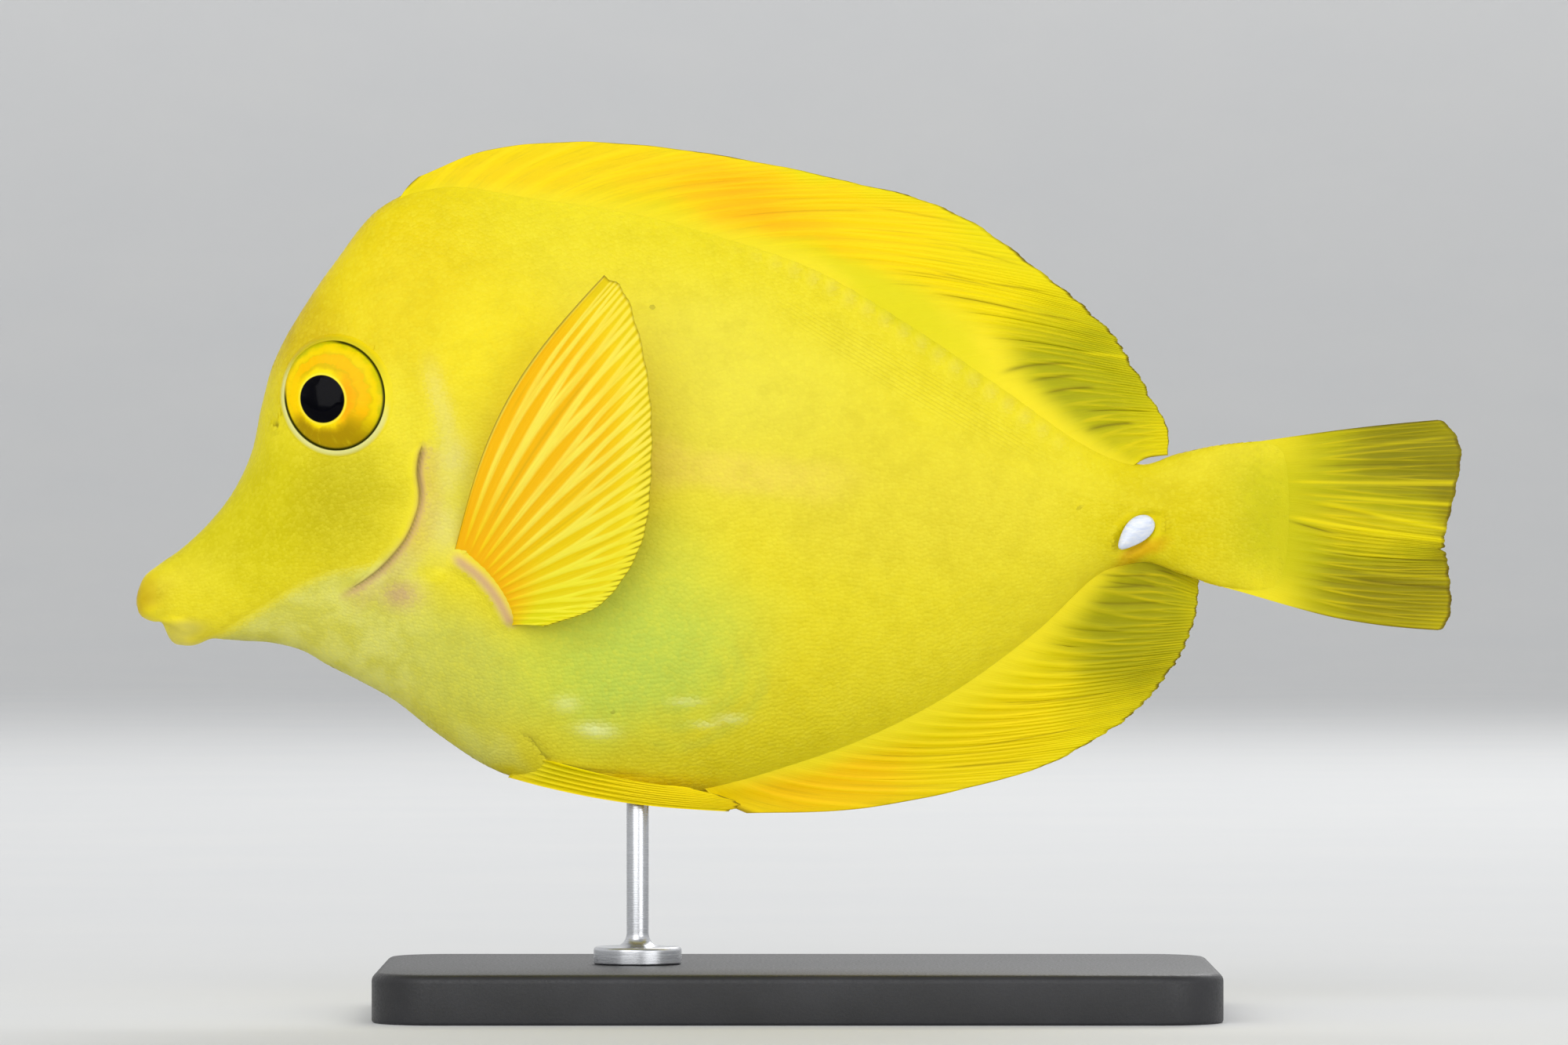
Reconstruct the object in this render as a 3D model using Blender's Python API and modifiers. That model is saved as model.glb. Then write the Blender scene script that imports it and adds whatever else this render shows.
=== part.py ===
"""A life-size yellow tang on a small display stand, as separate solids for each named part.

The fish swims towards -X with its left side towards -Y. The origin is the middle of the underside of
the stand's base plate, +Z is up, and all lengths are in metres (the tables are in millimetres times MM).
"""

import math

import bmesh
import bpy
import numpy as np
from mathutils import Matrix, Vector
from mathutils.bvhtree import BVHTree

MM = 0.001
TOUCH_GAP = 0.3 * MM

# Fish as a whole
FISH_LENGTH = 120 * MM
SNOUT_X = -FISH_LENGTH / 2
TAIL_SWAY = 5.0 * MM  # how far the tail fin's edge is swung towards -Y

# Trunk stations from snout to tail root: back line x, z, belly line x, z, half width, then how sharply
# the back and the belly narrow to a keel (1 is round) and how high up the widest point lies
STATIONS = np.array(
    [
        (-60.0, 37.8, -60.0, 37.1, 0.3, 1.00, 1.00, 0.50),
        (-59.8, 38.6, -59.6, 36.2, 1.1, 0.95, 0.95, 0.50),
        (-59.2, 39.8, -58.5, 35.7, 1.6, 0.95, 0.95, 0.50),
        (-57.8, 40.9, -56.6, 35.0, 2.0, 0.95, 0.95, 0.50),
        (-55.7, 42.4, -53.8, 34.2, 2.4, 0.95, 0.95, 0.50),
        (-53.2, 44.8, -50.7, 33.9, 2.9, 0.95, 1.00, 0.50),
        (-51.1, 47.6, -47.8, 33.7, 3.5, 0.95, 1.05, 0.50),
        (-49.5, 51.1, -45.0, 33.0, 4.3, 0.90, 1.10, 0.52),
        (-48.6, 55.3, -42.5, 31.6, 5.1, 0.85, 1.15, 0.54),
        (-47.5, 59.3, -39.7, 30.2, 5.8, 0.85, 1.15, 0.55),
        (-45.2, 63.5, -36.5, 28.4, 6.5, 0.90, 1.20, 0.54),
        (-42.0, 68.2, -32.5, 25.3, 7.1, 1.00, 1.20, 0.52),
        (-37.8, 73.2, -27.6, 22.2, 7.6, 1.15, 1.20, 0.50),
        (-31.8, 75.4, -21.9, 20.5, 7.8, 1.40, 1.25, 0.48),
        (-24.0, 74.6, -14.7, 19.8, 7.7, 1.55, 1.35, 0.47),
        (-15.5, 73.4, -8.3, 20.2, 7.4, 1.60, 1.50, 0.47),
        (-7.6, 71.4, -1.2, 21.9, 6.7, 1.60, 1.60, 0.48),
        (1.6, 68.2, 6.6, 24.7, 5.7, 1.60, 1.60, 0.49),
        (10.2, 63.2, 14.1, 28.6, 4.7, 1.60, 1.60, 0.50),
        (18.7, 57.2, 21.6, 34.2, 3.6, 1.50, 1.50, 0.50),
        (25.8, 52.0, 27.3, 39.7, 2.7, 1.30, 1.30, 0.50),
        (30.8, 49.9, 31.2, 41.0, 2.2, 1.10, 1.10, 0.50),
        (34.4, 50.8, 34.4, 40.1, 1.8, 1.05, 1.05, 0.50),
        (37.9, 51.8, 37.9, 38.9, 1.4, 1.00, 1.00, 0.50),
        (40.8, 52.0, 40.8, 38.2, 0.9, 1.00, 1.00, 0.50),
    ]
) * np.array([MM, MM, MM, MM, MM, 1, 1, 1])
RINGS_PER_STATION = 2
RING_POINTS = 28
FEWEST_PIECE_POINTS = 40  # a cut-off scrap has fewer points than this
SHARP_EDGE = math.radians(40)

# Lines that part the trunk, as seen from the side, top to bottom
HEAD_LINE = np.array(
    [
        (-33.6, 90), (-33.6, 76), (-31.2, 66), (-30.2, 58), (-30.4, 48),
        (-31.6, 41.5), (-35, 37.6), (-41, 33.5), (-50, 22),
    ]
) * MM
TAIL_LINE = np.array([(26.6, 70), (27.2, 52), (27.6, 46), (27.2, 40), (26.6, 25)]) * MM
MOUTH_LINE = np.array(
    [
        (-62, 34.2), (-59.5, 35.1), (-57.7, 35.35), (-55.5, 35.2),
        (-53.4, 35.05), (-52.2, 34.7), (-51.6, 33.9), (-51.4, 32),
    ]
) * MM

# Lips
UPPER_LIP_AT = Vector((-58.4, 0, 37.0)) * MM
UPPER_LIP_RADII = (1.5 * MM, 1.75 * MM, 1.4 * MM)
LOWER_LIP_AT = Vector((-55.5, 0, 34.6)) * MM
LOWER_LIP_RADII = (1.95 * MM, 1.95 * MM, 1.15 * MM)

# Eyes and nostrils, placed from the side view
EYE_AT = (-41.75 * MM, 56.05 * MM)
EYE_RADIUS = 5.0 * MM
EYE_HALF_DEPTH = 1.7 * MM
EYE_SINK = 0.7 * MM
EYE_AXIS = Vector((-0.24, -0.96, 0.10)).normalized()
ORBIT_RIM_RADIUS = 4.75 * MM
ORBIT_RIM_THICKNESS = 0.45 * MM
NOSTRILS = ((-47.3 * MM, 53.3 * MM, 0.5 * MM), (-46.5 * MM, 54.5 * MM, 0.35 * MM))

# Gill cover, outlined from the side
GILL_COVER_LINE = np.array(
    [
        (-34.4, 54.0), (-37.0, 52.4), (-39.0, 48.2), (-40.4, 43.6), (-42.9, 39.2), (-41.9, 37.7),
        (-38.3, 39.7), (-36.0, 42.4), (-34.5, 45.1), (-33.9, 47.9), (-33.4, 51.4),
    ]
) * MM
GILL_COVER_PROUD = 0.3 * MM
GILL_COVER_INNER_Y = 3.6 * MM

# Scalpel-like spine on each side of the tail root
TAIL_SPINE_AT = (30.6 * MM, 43.6 * MM)
TAIL_SPINE_RADII = (2.2 * MM, 0.75 * MM, 1.05 * MM)
TAIL_SPINE_TILT = math.radians(42)

# Fins: key rays as root x, z and tip x, z from the front of the fin to its rear
DORSAL_KEYS = np.array(
    [
        (-36.0, 74.5, -34.4, 76.0), (-32.6, 75.3, -28.3, 78.4), (-29.0, 75.1, -20.5, 79.2),
        (-24.6, 74.6, -10.5, 78.5), (-18.3, 73.8, 3.6, 75.9), (-10.5, 72.1, 14.1, 72.9),
        (-2.3, 69.6, 23.4, 66.5), (5.2, 66.3, 28.4, 61.9), (13.0, 61.3, 30.6, 58.7),
        (20.9, 55.6, 32.6, 55.0), (26.6, 51.8, 33.8, 52.3), (30.2, 50.2, 33.6, 50.7),
    ]
) * MM
DORSAL_SPINES = 5
DORSAL_SOFT_RAYS = 24
ANAL_KEYS = np.array(
    [
        (-8.7, 20.4, -6.6, 18.3), (-5.5, 21.0, -0.5, 18.1), (-2.3, 21.7, 8.0, 19.0),
        (1.6, 22.9, 18.0, 20.9), (6.6, 24.8, 26.4, 24.4), (12.3, 27.5, 31.9, 28.6),
        (18.7, 31.9, 34.9, 32.4), (23.7, 36.2, 36.2, 36.2), (28.2, 40.6, 36.5, 39.3),
    ]
) * MM
ANAL_SPINES = 3
ANAL_SOFT_RAYS = 20
CAUDAL_KEYS = np.array(
    [
        (38.7, 51.3, 59.3, 54.0), (39.7, 49.3, 60.0, 51.1), (40.2, 46.5, 59.4, 46.0),
        (40.4, 44.2, 58.4, 42.4), (40.1, 41.9, 58.9, 38.5), (38.8, 39.2, 59.1, 34.8),
    ]
) * MM
CAUDAL_RAYS = 16
PECTORAL_KEYS = np.array(
    [
        (-31.0, 41.2, -17.9, 66.4), (-30.2, 40.6, -15.7, 65.2), (-29.2, 39.8, -13.6, 58.6),
        (-28.1, 38.8, -13.0, 50.0), (-27.1, 37.8, -13.9, 42.9), (-26.3, 36.7, -17.2, 37.6),
        (-25.7, 35.4, -22.2, 35.3),
    ]
) * MM
PECTORAL_RAYS = 15
PECTORAL_BOW = 0.085
PECTORAL_ROOT_STEP = 0.5 * MM  # how far the fin's root stands out of the flank
PECTORAL_LIFT = (7.0 * MM, 2.4 * MM)  # how far the tips of the first and last rays stand off the flank
PELVIC_KEYS = np.array(
    [(-26.2, 21.5, -5.5, 18.4), (-25.4, 22.5, -5.2, 19.2), (-24.6, 23.6, -8.3, 20.4)]
) * MM
PELVIC_RAYS = 6
PELVIC_BOW = -0.03
PELVIC_ROOT_Y = (1.9 * MM, 3.4 * MM)  # lower and upper edge at the root
PELVIC_TIP_Y = (1.8 * MM, 2.4 * MM)
PELVIC_ROOT_TUCK = 1.6 * MM  # how far the root turns in towards the keel

# Half thicknesses of the fins: spine, soft ray, membrane, each at the root and at the tip
SPINE_HALF = (0.55 * MM, 0.25 * MM)
RAY_HALF = (0.46 * MM, 0.26 * MM)
MEMBRANE_HALF = (0.3 * MM, 0.2 * MM)
MEMBRANE_NOTCH = 0.012  # how far the edge of the membrane falls short of the ray tips
ROOT_SINK = 2.0 * MM

# Display stand
BASE_SIZE = (76 * MM, 44 * MM, 4.5 * MM)
BASE_CORNER = 6 * MM
BASE_BEVEL = 0.8 * MM
ROD_X = -14.5 * MM
ROD_RADIUS = 1.0 * MM
ROD_TOP = 27 * MM
ROD_FOOT_RADIUS = 4.0 * MM
ROD_FOOT_HEIGHT = 1.6 * MM

MODEL = None
HELPERS = None


def clear_scene():
    for obj in list(bpy.data.objects):
        bpy.data.objects.remove(obj, do_unlink=True)


def new_collections():
    """One collection for the model's parts and one, never rendered, for cutters."""
    global MODEL, HELPERS
    MODEL = bpy.data.collections.new("yellow_tang")
    HELPERS = bpy.data.collections.new("helpers")
    for collection in (MODEL, HELPERS):
        bpy.context.scene.collection.children.link(collection)


def material(name, colour, roughness, metallic=0.0):
    made = bpy.data.materials.new(name)
    made.use_nodes = True
    shader = made.node_tree.nodes["Principled BSDF"]
    shader.inputs["Base Color"].default_value = (*colour, 1)
    shader.inputs["Roughness"].default_value = roughness
    shader.inputs["Metallic"].default_value = metallic
    return made


def object_from(bm, name, helper=False):
    """Links the bmesh as a new object, as a part or as a hidden helper."""
    bmesh.ops.recalc_face_normals(bm, faces=bm.faces)
    mesh = bpy.data.meshes.new(name)
    bm.to_mesh(mesh)
    bm.free()
    obj = bpy.data.objects.new(name, mesh)
    (HELPERS if helper else MODEL).objects.link(obj)
    if helper:
        obj.hide_render = True
        obj.display_type = "WIRE"
    return obj


def finish(obj, surface):
    """Gives a part its material and smooth shading with sharp edges kept."""
    obj.data.materials.clear()
    obj.data.materials.append(surface)
    obj.data.shade_smooth()
    obj.data.set_sharp_from_angle(angle=SHARP_EDGE)


def apply_modifiers(obj):
    graph = bpy.context.evaluated_depsgraph_get()
    mesh = bpy.data.meshes.new_from_object(obj.evaluated_get(graph))
    obj.modifiers.clear()
    old = obj.data
    obj.data = mesh
    bpy.data.meshes.remove(old)


def keep_largest(obj):
    """Drops every closed surface but the largest, which also fills hollows that a join has sealed."""
    bm = bmesh.new()
    bm.from_mesh(obj.data)
    islands = []
    unseen = set(bm.verts)
    while unseen:
        reached = {unseen.pop()}
        edge_of_search = list(reached)
        while edge_of_search:
            vert = edge_of_search.pop()
            for edge in vert.link_edges:
                other = edge.other_vert(vert)
                if other in unseen:
                    unseen.remove(other)
                    reached.add(other)
                    edge_of_search.append(other)
        islands.append(reached)
    islands.sort(key=len, reverse=True)
    for scrap in islands[1:]:
        bmesh.ops.delete(bm, geom=list(scrap), context="VERTS")
    bm.to_mesh(obj.data)
    bm.free()


def combine(obj, others, operation):
    """Joins others to obj, or cuts them from it, with one Boolean, applied; the others are then removed."""
    group = bpy.data.collections.new("boolean_operands")
    bpy.context.scene.collection.children.link(group)
    for other in others:
        group.objects.link(other)
    boolean = obj.modifiers.new(operation.lower(), "BOOLEAN")
    boolean.operation = operation
    boolean.operand_type = "COLLECTION"
    boolean.solver = "EXACT"
    boolean.collection = group
    apply_modifiers(obj)
    for other in others:
        bpy.data.objects.remove(other, do_unlink=True)
    bpy.data.collections.remove(group)


def smooth_through(knots, values, at):
    """Values of the smooth curve through (knots, values), read at the given places."""
    values = np.asarray(values, float)
    steps = np.diff(knots)
    shape = (-1,) + (1,) * (values.ndim - 1)
    slopes = np.diff(values, axis=0) / steps.reshape(shape)
    before, after = steps[:-1].reshape(shape), steps[1:].reshape(shape)
    inner = (slopes[:-1] * after + slopes[1:] * before) / (before + after)
    tangents = np.concatenate([slopes[:1], inner, slopes[-1:]])
    cell = np.clip(np.searchsorted(knots, at, side="right") - 1, 0, len(steps) - 1)
    width = steps[cell].reshape(shape)
    t = ((at - knots[cell]) / steps[cell]).reshape(shape)
    left, right = values[cell], values[cell + 1]
    return (
        (1 + 2 * t) * (1 - t) ** 2 * left
        + t * (1 - t) ** 2 * width * tangents[cell]
        + t**2 * (3 - 2 * t) * right
        + t**2 * (t - 1) * width * tangents[cell + 1]
    )


def sway(x):
    """Sideways swing of the body at x, which grows towards the tail."""
    t = np.clip(x / (FISH_LENGTH / 2), 0, None)
    return -TAIL_SWAY * t**2 * (1.5 - 0.5 * t)


def trunk_ring(station):
    """One closed ring of the trunk, from the back down the left side and up the right side."""
    top_x, top_z, low_x, low_z, half_width, top_pinch, low_pinch, widest = station
    points = []
    for k in range(RING_POINTS):
        turn = 2 * math.pi * k / RING_POINTS
        rise = math.cos(turn)
        share = widest + rise * ((1 - widest) if rise > 0 else widest)
        pinch = top_pinch if rise > 0 else low_pinch
        side = abs(math.sin(turn)) ** pinch * (-1 if turn < math.pi else 1)
        x = low_x + share * (top_x - low_x)
        points.append(Vector((x, half_width * side + sway(x), low_z + share * (top_z - low_z))))
    return points


def loft(rings, name, helper=False):
    """A closed body through rings with the same number of points, closed by a face at each end."""
    bm = bmesh.new()
    made = [[bm.verts.new(p) for p in ring] for ring in rings]
    count = len(rings[0])
    for first, second in zip(made, made[1:]):
        for k in range(count):
            n = (k + 1) % count
            bm.faces.new((first[k], first[n], second[n], second[k]))
    for end in (made[0], made[-1]):
        cap = bm.faces.new(end)
        bmesh.ops.poke(bm, faces=[cap])
    return object_from(bm, name, helper)


def trunk(name, grow=0.0, helper=False):
    """The whole trunk without fins. With grow, its surface is moved outwards by that much."""
    knots = np.arange(len(STATIONS), dtype=float)
    places = np.linspace(0, knots[-1], (len(knots) - 1) * RINGS_PER_STATION + 1)
    obj = loft([trunk_ring(s) for s in smooth_through(knots, STATIONS, places)], name, helper)
    if grow:
        normals = [v.normal.copy() for v in obj.data.vertices]
        for vert, normal in zip(obj.data.vertices, normals):
            vert.co += normal * grow
    return obj


def ellipsoid(name, at, radii, turn=None, grow=0.0, segments=24, helper=False):
    """A UV sphere stretched to the three radii, turned and placed."""
    bm = bmesh.new()
    scale = Matrix.Diagonal([r + grow for r in radii] + [1])
    place = Matrix.Translation(at) @ (turn or Matrix.Identity(4)) @ scale
    bmesh.ops.create_uvsphere(bm, u_segments=segments, v_segments=segments // 2, radius=1, matrix=place)
    return object_from(bm, name, helper)


def prism(name, outline, low_y, high_y):
    """A cutter with the outline (x, z) seen from the side, from low_y to high_y."""
    bm = bmesh.new()
    face = bm.faces.new([bm.verts.new((x, low_y, z)) for x, z in outline])
    grown = bmesh.ops.extrude_face_region(bm, geom=[face])
    for item in grown["geom"]:
        if isinstance(item, bmesh.types.BMVert):
            item.co.y = high_y
    return object_from(bm, name, helper=True)


def closed_outline(points, per_point=4):
    """A smooth closed outline through the points."""
    count = len(points)
    wrapped = np.concatenate([points[-2:], points, points[:3]])
    knots = np.arange(-2, count + 3, dtype=float)
    return smooth_through(knots, wrapped, np.arange(count * per_point) / per_point)


def grown_outline(outline, by):
    """The closed outline moved outwards by a distance."""
    ahead, behind = np.roll(outline, -1, axis=0), np.roll(outline, 1, axis=0)
    along = ahead - behind
    out = np.stack([along[:, 1], -along[:, 0]], axis=1)
    out /= np.linalg.norm(out, axis=1, keepdims=True)
    area = np.sum(outline[:, 0] * ahead[:, 1] - ahead[:, 0] * outline[:, 1])
    return outline + out * by * (1 if area > 0 else -1)


def parting_wall(name, line):
    """A wall as thin as the touching gap along a line seen from the side."""
    knots = np.arange(len(line), dtype=float)
    path = smooth_through(knots, line, np.linspace(0, knots[-1], 5 * len(line)))
    along = np.gradient(path, axis=0)
    across = np.stack([-along[:, 1], along[:, 0]], axis=1)
    across *= TOUCH_GAP / 2 / np.linalg.norm(across, axis=1, keepdims=True)
    outline = np.concatenate([path - across, (path + across)[::-1]])
    return prism(name, outline, -FISH_LENGTH / 4, FISH_LENGTH / 4)


def surface_finder(obj):
    """A function that gives the left (-1) or right (1) surface of obj at a place (x, z) of the side view."""
    bm = bmesh.new()
    bm.from_mesh(obj.data)
    bmesh.ops.triangulate(bm, faces=bm.faces)
    tree = BVHTree.FromBMesh(bm)
    bm.free()

    def find(x, z, side):
        point, normal, _, _ = tree.ray_cast(Vector((x, side * FISH_LENGTH, z)), Vector((0, -side, 0)))
        return point, normal

    return find


def mirrored(vector, side):
    """A vector given for the left side (-1), mirrored for the right side (1)."""
    return Vector((vector.x, -side * vector.y, vector.z))


def side_name(stem, side):
    return f"{stem}_{'left' if side < 0 else 'right'}"


def blend(pair, share):
    return pair[0] + (pair[1] - pair[0]) * share


class Fin:
    """A closed fin: columns of points along each ray and along the membrane between, thick at the rays."""

    def __init__(self, ray_curve, ray_count, spine_count=0, rows=6):
        self.ray_curve = ray_curve
        self.ray_count = ray_count
        self.spine_count = spine_count
        self.rows = rows

    def column(self, place):
        """Centres and half thicknesses along a ray (whole place) or a stretch of membrane (half place)."""
        on_ray = abs(place - round(place)) < 1e-9
        share = place / (self.ray_count - 1)
        centres, halves = [], []
        for row in range(self.rows):
            s = row / (self.rows - 1)
            reach = 1 if on_ray else 1 - MEMBRANE_NOTCH
            centres.append(self.ray_curve(share, s * reach))
            if not on_ray:
                sizes = MEMBRANE_HALF
            else:
                sizes = SPINE_HALF if round(place) < self.spine_count else RAY_HALF
            halves.append(blend(sizes, s**1.5))
        return centres, halves

    def build(self, name):
        places = np.arange(0, self.ray_count - 0.5, 0.5)
        columns = [self.column(p) for p in places]
        centres = np.array([[list(p) for p in c[0]] for c in columns])
        halves = np.array([c[1] for c in columns])
        along = np.gradient(centres, axis=1)
        across = np.gradient(centres, axis=0)
        normals = np.cross(along, across)
        normals /= np.linalg.norm(normals, axis=2, keepdims=True)
        bm = bmesh.new()
        front = [[bm.verts.new(p) for p in col] for col in centres + normals * halves[..., None]]
        back = [[bm.verts.new(p) for p in col] for col in centres - normals * halves[..., None]]
        last_col, last_row = len(places) - 1, self.rows - 1
        for c in range(last_col):
            for r in range(last_row):
                for sheet in (front, back):
                    a, b, d, e = sheet[c][r], sheet[c + 1][r], sheet[c + 1][r + 1], sheet[c][r + 1]
                    bm.faces.new((a, b, d))
                    bm.faces.new((a, d, e))
        border = [(c, 0) for c in range(last_col)] + [(last_col, r) for r in range(last_row)]
        border += [(c, last_row) for c in range(last_col, 0, -1)] + [(0, r) for r in range(last_row, 0, -1)]
        for (c1, r1), (c2, r2) in zip(border, border[1:] + border[:1]):
            bm.faces.new((front[c1][r1], front[c2][r2], back[c2][r2]))
            bm.faces.new((front[c1][r1], back[c2][r2], back[c1][r1]))
        return object_from(bm, name)


def key_reader(keys):
    """A function that gives root and tip of the ray at a share of the fin, through its key rays."""
    knots = np.concatenate([[0], np.cumsum(np.linalg.norm(np.diff(keys[:, :2], axis=0), axis=1))])

    def read(share):
        root_x, root_z, tip_x, tip_z = smooth_through(knots, keys, np.array([share * knots[-1]]))[0]
        return np.array([root_x, root_z]), np.array([tip_x, tip_z])

    return read


def median_ray(keys, sink, bow, lean):
    """Rays of a fin in the body's middle plane. The root is sunk into the body and the tips lean sideways."""
    read = key_reader(keys)

    def curve(share, s):
        root, tip = read(share)
        span = tip - root
        arc = np.array([-span[1], span[0]]) * blend(bow, share) * math.sin(math.pi * s)
        ground = root + np.array(sink) * (1 - s) ** 6
        x, z = ground + span * s + arc
        straight_on = sway(root[0]) + (sway(root[0] + MM) - sway(root[0])) / MM * (x - root[0])
        return Vector((x, straight_on + lean(share) * s**2, z))

    return curve


def make_trunk_parts(flesh):
    """Head, lower jaw, torso and tail root, cut from one trunk, with the gill covers cut from the head."""
    body = trunk("trunk_whole")
    find = surface_finder(body)
    lips = [
        ellipsoid("upper_lip", UPPER_LIP_AT, UPPER_LIP_RADII, segments=20),
        ellipsoid("lower_lip", LOWER_LIP_AT, LOWER_LIP_RADII, segments=20),
    ]
    rims = []
    for side in (-1, 1):
        at, _ = find(*EYE_AT, side)
        turn = mirrored(EYE_AXIS, side).to_track_quat("Z", "Y").to_matrix().to_4x4()
        rims.append(torus(at, turn))
    combine(body, [*lips, *rims], "UNION")
    keep_largest(body)

    cutters = [
        parting_wall("mouth_wall", MOUTH_LINE),
        parting_wall("head_wall", HEAD_LINE),
        parting_wall("tail_wall", TAIL_LINE),
        rod_hole(),
    ]
    outline = closed_outline(GILL_COVER_LINE)
    for side in (-1, 1):
        eye_at, turn = eye_place(find, side)
        cutters.append(eye_form("eye_socket", eye_at, turn, TOUCH_GAP, helper=True))
        spine_at, spine_turn = tail_spine_place(find, side)
        cutters.append(tail_spine_form("spine_groove", spine_at, spine_turn, TOUCH_GAP, helper=True))
        for x, z, radius in NOSTRILS:
            at, _ = find(x, z, side)
            cutters.append(ellipsoid("nostril", at, (radius,) * 3, segments=12, helper=True))
        inner, outer = side * (GILL_COVER_INNER_Y - TOUCH_GAP), side * FISH_LENGTH / 4
        cutters.append(prism("gill_cover_space", grown_outline(outline, TOUCH_GAP), inner, outer))
    combine(body, cutters, "DIFFERENCE")
    for side in (-1, 1):
        cover = trunk(side_name("gill_cover", side), grow=GILL_COVER_PROUD)
        shape = prism("gill_cover_shape", outline, side * GILL_COVER_INNER_Y, side * FISH_LENGTH / 4)
        combine(cover, [shape], "INTERSECT")
        keep_largest(cover)
        finish(cover, flesh)
    split_trunk(body, flesh)
    return find


def torus(at, turn):
    """The raised rim round an eye."""
    bpy.ops.mesh.primitive_torus_add(
        major_radius=ORBIT_RIM_RADIUS,
        minor_radius=ORBIT_RIM_THICKNESS,
        major_segments=28,
        minor_segments=6,
    )
    ring = bpy.context.object
    ring.data.transform(Matrix.Translation(at) @ turn)
    for group in ring.users_collection:
        group.objects.unlink(ring)
    HELPERS.objects.link(ring)
    return ring


def split_trunk(body, flesh):
    """The pieces between the parting walls, front to rear, each as its own object."""
    bpy.ops.object.select_all(action="DESELECT")
    bpy.context.view_layer.objects.active = body
    body.select_set(True)
    bpy.ops.mesh.separate(type="LOOSE")
    pieces = [o for o in bpy.context.selected_objects if len(o.data.vertices) > FEWEST_PIECE_POINTS]
    for scrap in [o for o in bpy.context.selected_objects if o not in pieces]:
        bpy.data.objects.remove(scrap, do_unlink=True)
    pieces.sort(key=lambda o: sum(v.co.x for v in o.data.vertices) / len(o.data.vertices))
    for piece, name in zip(pieces, ("lower_jaw", "head", "torso", "tail_root")):
        piece.name = name
        finish(piece, flesh)


def eye_place(find, side):
    """Middle of the eyeball and the turn that points its Z axis out of the head."""
    at, _ = find(*EYE_AT, side)
    axis = mirrored(EYE_AXIS, side)
    return at - axis * EYE_SINK, axis.to_track_quat("Z", "Y").to_matrix().to_4x4()


def eye_form(name, at, turn, grow=0.0, helper=False):
    return ellipsoid(name, at, (EYE_RADIUS, EYE_RADIUS, EYE_HALF_DEPTH), turn, grow, 20, helper)


def tail_spine_place(find, side):
    at, _ = find(*TAIL_SPINE_AT, side)
    return at, Matrix.Rotation(-TAIL_SPINE_TILT, 4, "Y")


def tail_spine_form(name, at, turn, grow=0.0, helper=False):
    return ellipsoid(name, at, TAIL_SPINE_RADII, turn, grow, 16, helper)


def rod_hole():
    """The socket in the belly that takes the rod."""
    bm = bmesh.new()
    top = ROD_TOP + TOUCH_GAP
    bmesh.ops.create_cone(
        bm,
        cap_ends=True,
        segments=24,
        radius1=ROD_RADIUS + TOUCH_GAP,
        radius2=ROD_RADIUS + TOUCH_GAP,
        depth=top,
        matrix=Matrix.Translation((ROD_X, 0, top / 2)),
    )
    return object_from(bm, "rod_hole", helper=True)


def trim_to_trunk(fin):
    """Cuts a fin's root to the trunk's surface, a touching gap clear of it."""
    combine(fin, [trunk("trunk_clearance", grow=TOUCH_GAP, helper=True)], "DIFFERENCE")
    keep_largest(fin)


def make_median_fins(membrane):
    dorsal = Fin(
        median_ray(DORSAL_KEYS, (-ROOT_SINK / 2, -ROOT_SINK), (0.03, 0.03), lambda share: 0.8 * MM * share),
        DORSAL_SPINES + DORSAL_SOFT_RAYS,
        DORSAL_SPINES,
    )
    anal = Fin(
        median_ray(ANAL_KEYS, (-ROOT_SINK / 2, ROOT_SINK), (-0.05, 0.0), lambda share: 1.6 * MM * share),
        ANAL_SPINES + ANAL_SOFT_RAYS,
        ANAL_SPINES,
    )
    caudal = Fin(
        median_ray(CAUDAL_KEYS, (-ROOT_SINK, 0), (0.015, -0.05), lambda share: 1.2 * MM * (share - 0.5)),
        CAUDAL_RAYS,
    )
    for fin, name in ((dorsal, "dorsal_fin"), (anal, "anal_fin"), (caudal, "tail_fin")):
        made = fin.build(name)
        trim_to_trunk(made)
        finish(made, membrane)


def make_pectoral_fins(find, membrane):
    """Fans that spring from the flank behind the gill cover and stand off it towards their tips."""
    read = key_reader(PECTORAL_KEYS)
    for side in (-1, 1):

        def curve(share, s, side=side):
            root, tip = read(share)
            span = tip - root
            arc = np.array([-span[1], span[0]]) * PECTORAL_BOW * (1 - share) * math.sin(math.pi * s)
            x, z = root + span * s + arc
            ground, _ = find(root[0], root[1], side)
            stand_off = blend(PECTORAL_LIFT, share) * s + PECTORAL_ROOT_STEP * (1 - 3 * (1 - s) ** 12)
            return Vector((x, ground.y + side * stand_off, z))

        made = Fin(curve, PECTORAL_RAYS).build(side_name("pectoral_fin", side))
        trim_to_trunk(made)
        finish(made, membrane)


def make_pelvic_fins(membrane):
    """The narrow fins folded back along each side of the belly's keel."""
    read = key_reader(PELVIC_KEYS)
    for side in (-1, 1):

        def curve(share, s, side=side):
            root, tip = read(share)
            span = tip - root
            x, z = root + span * s + np.array([-span[1], span[0]]) * PELVIC_BOW * math.sin(math.pi * s)
            out = blend(PELVIC_ROOT_Y, share) * (1 - s) + blend(PELVIC_TIP_Y, share) * s
            return Vector((x, side * (out - PELVIC_ROOT_TUCK * (1 - s) ** 6), z))

        made = Fin(curve, PELVIC_RAYS, 1).build(side_name("pelvic_fin", side))
        trim_to_trunk(made)
        finish(made, membrane)


def make_eyes_and_tail_spines(find, glassy, horn):
    for side in (-1, 1):
        eye_at, turn = eye_place(find, side)
        finish(eye_form(side_name("eye", side), eye_at, turn), glassy)
        at, spine_turn = tail_spine_place(find, side)
        finish(tail_spine_form(side_name("tail_spine", side), at, spine_turn), horn)


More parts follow.
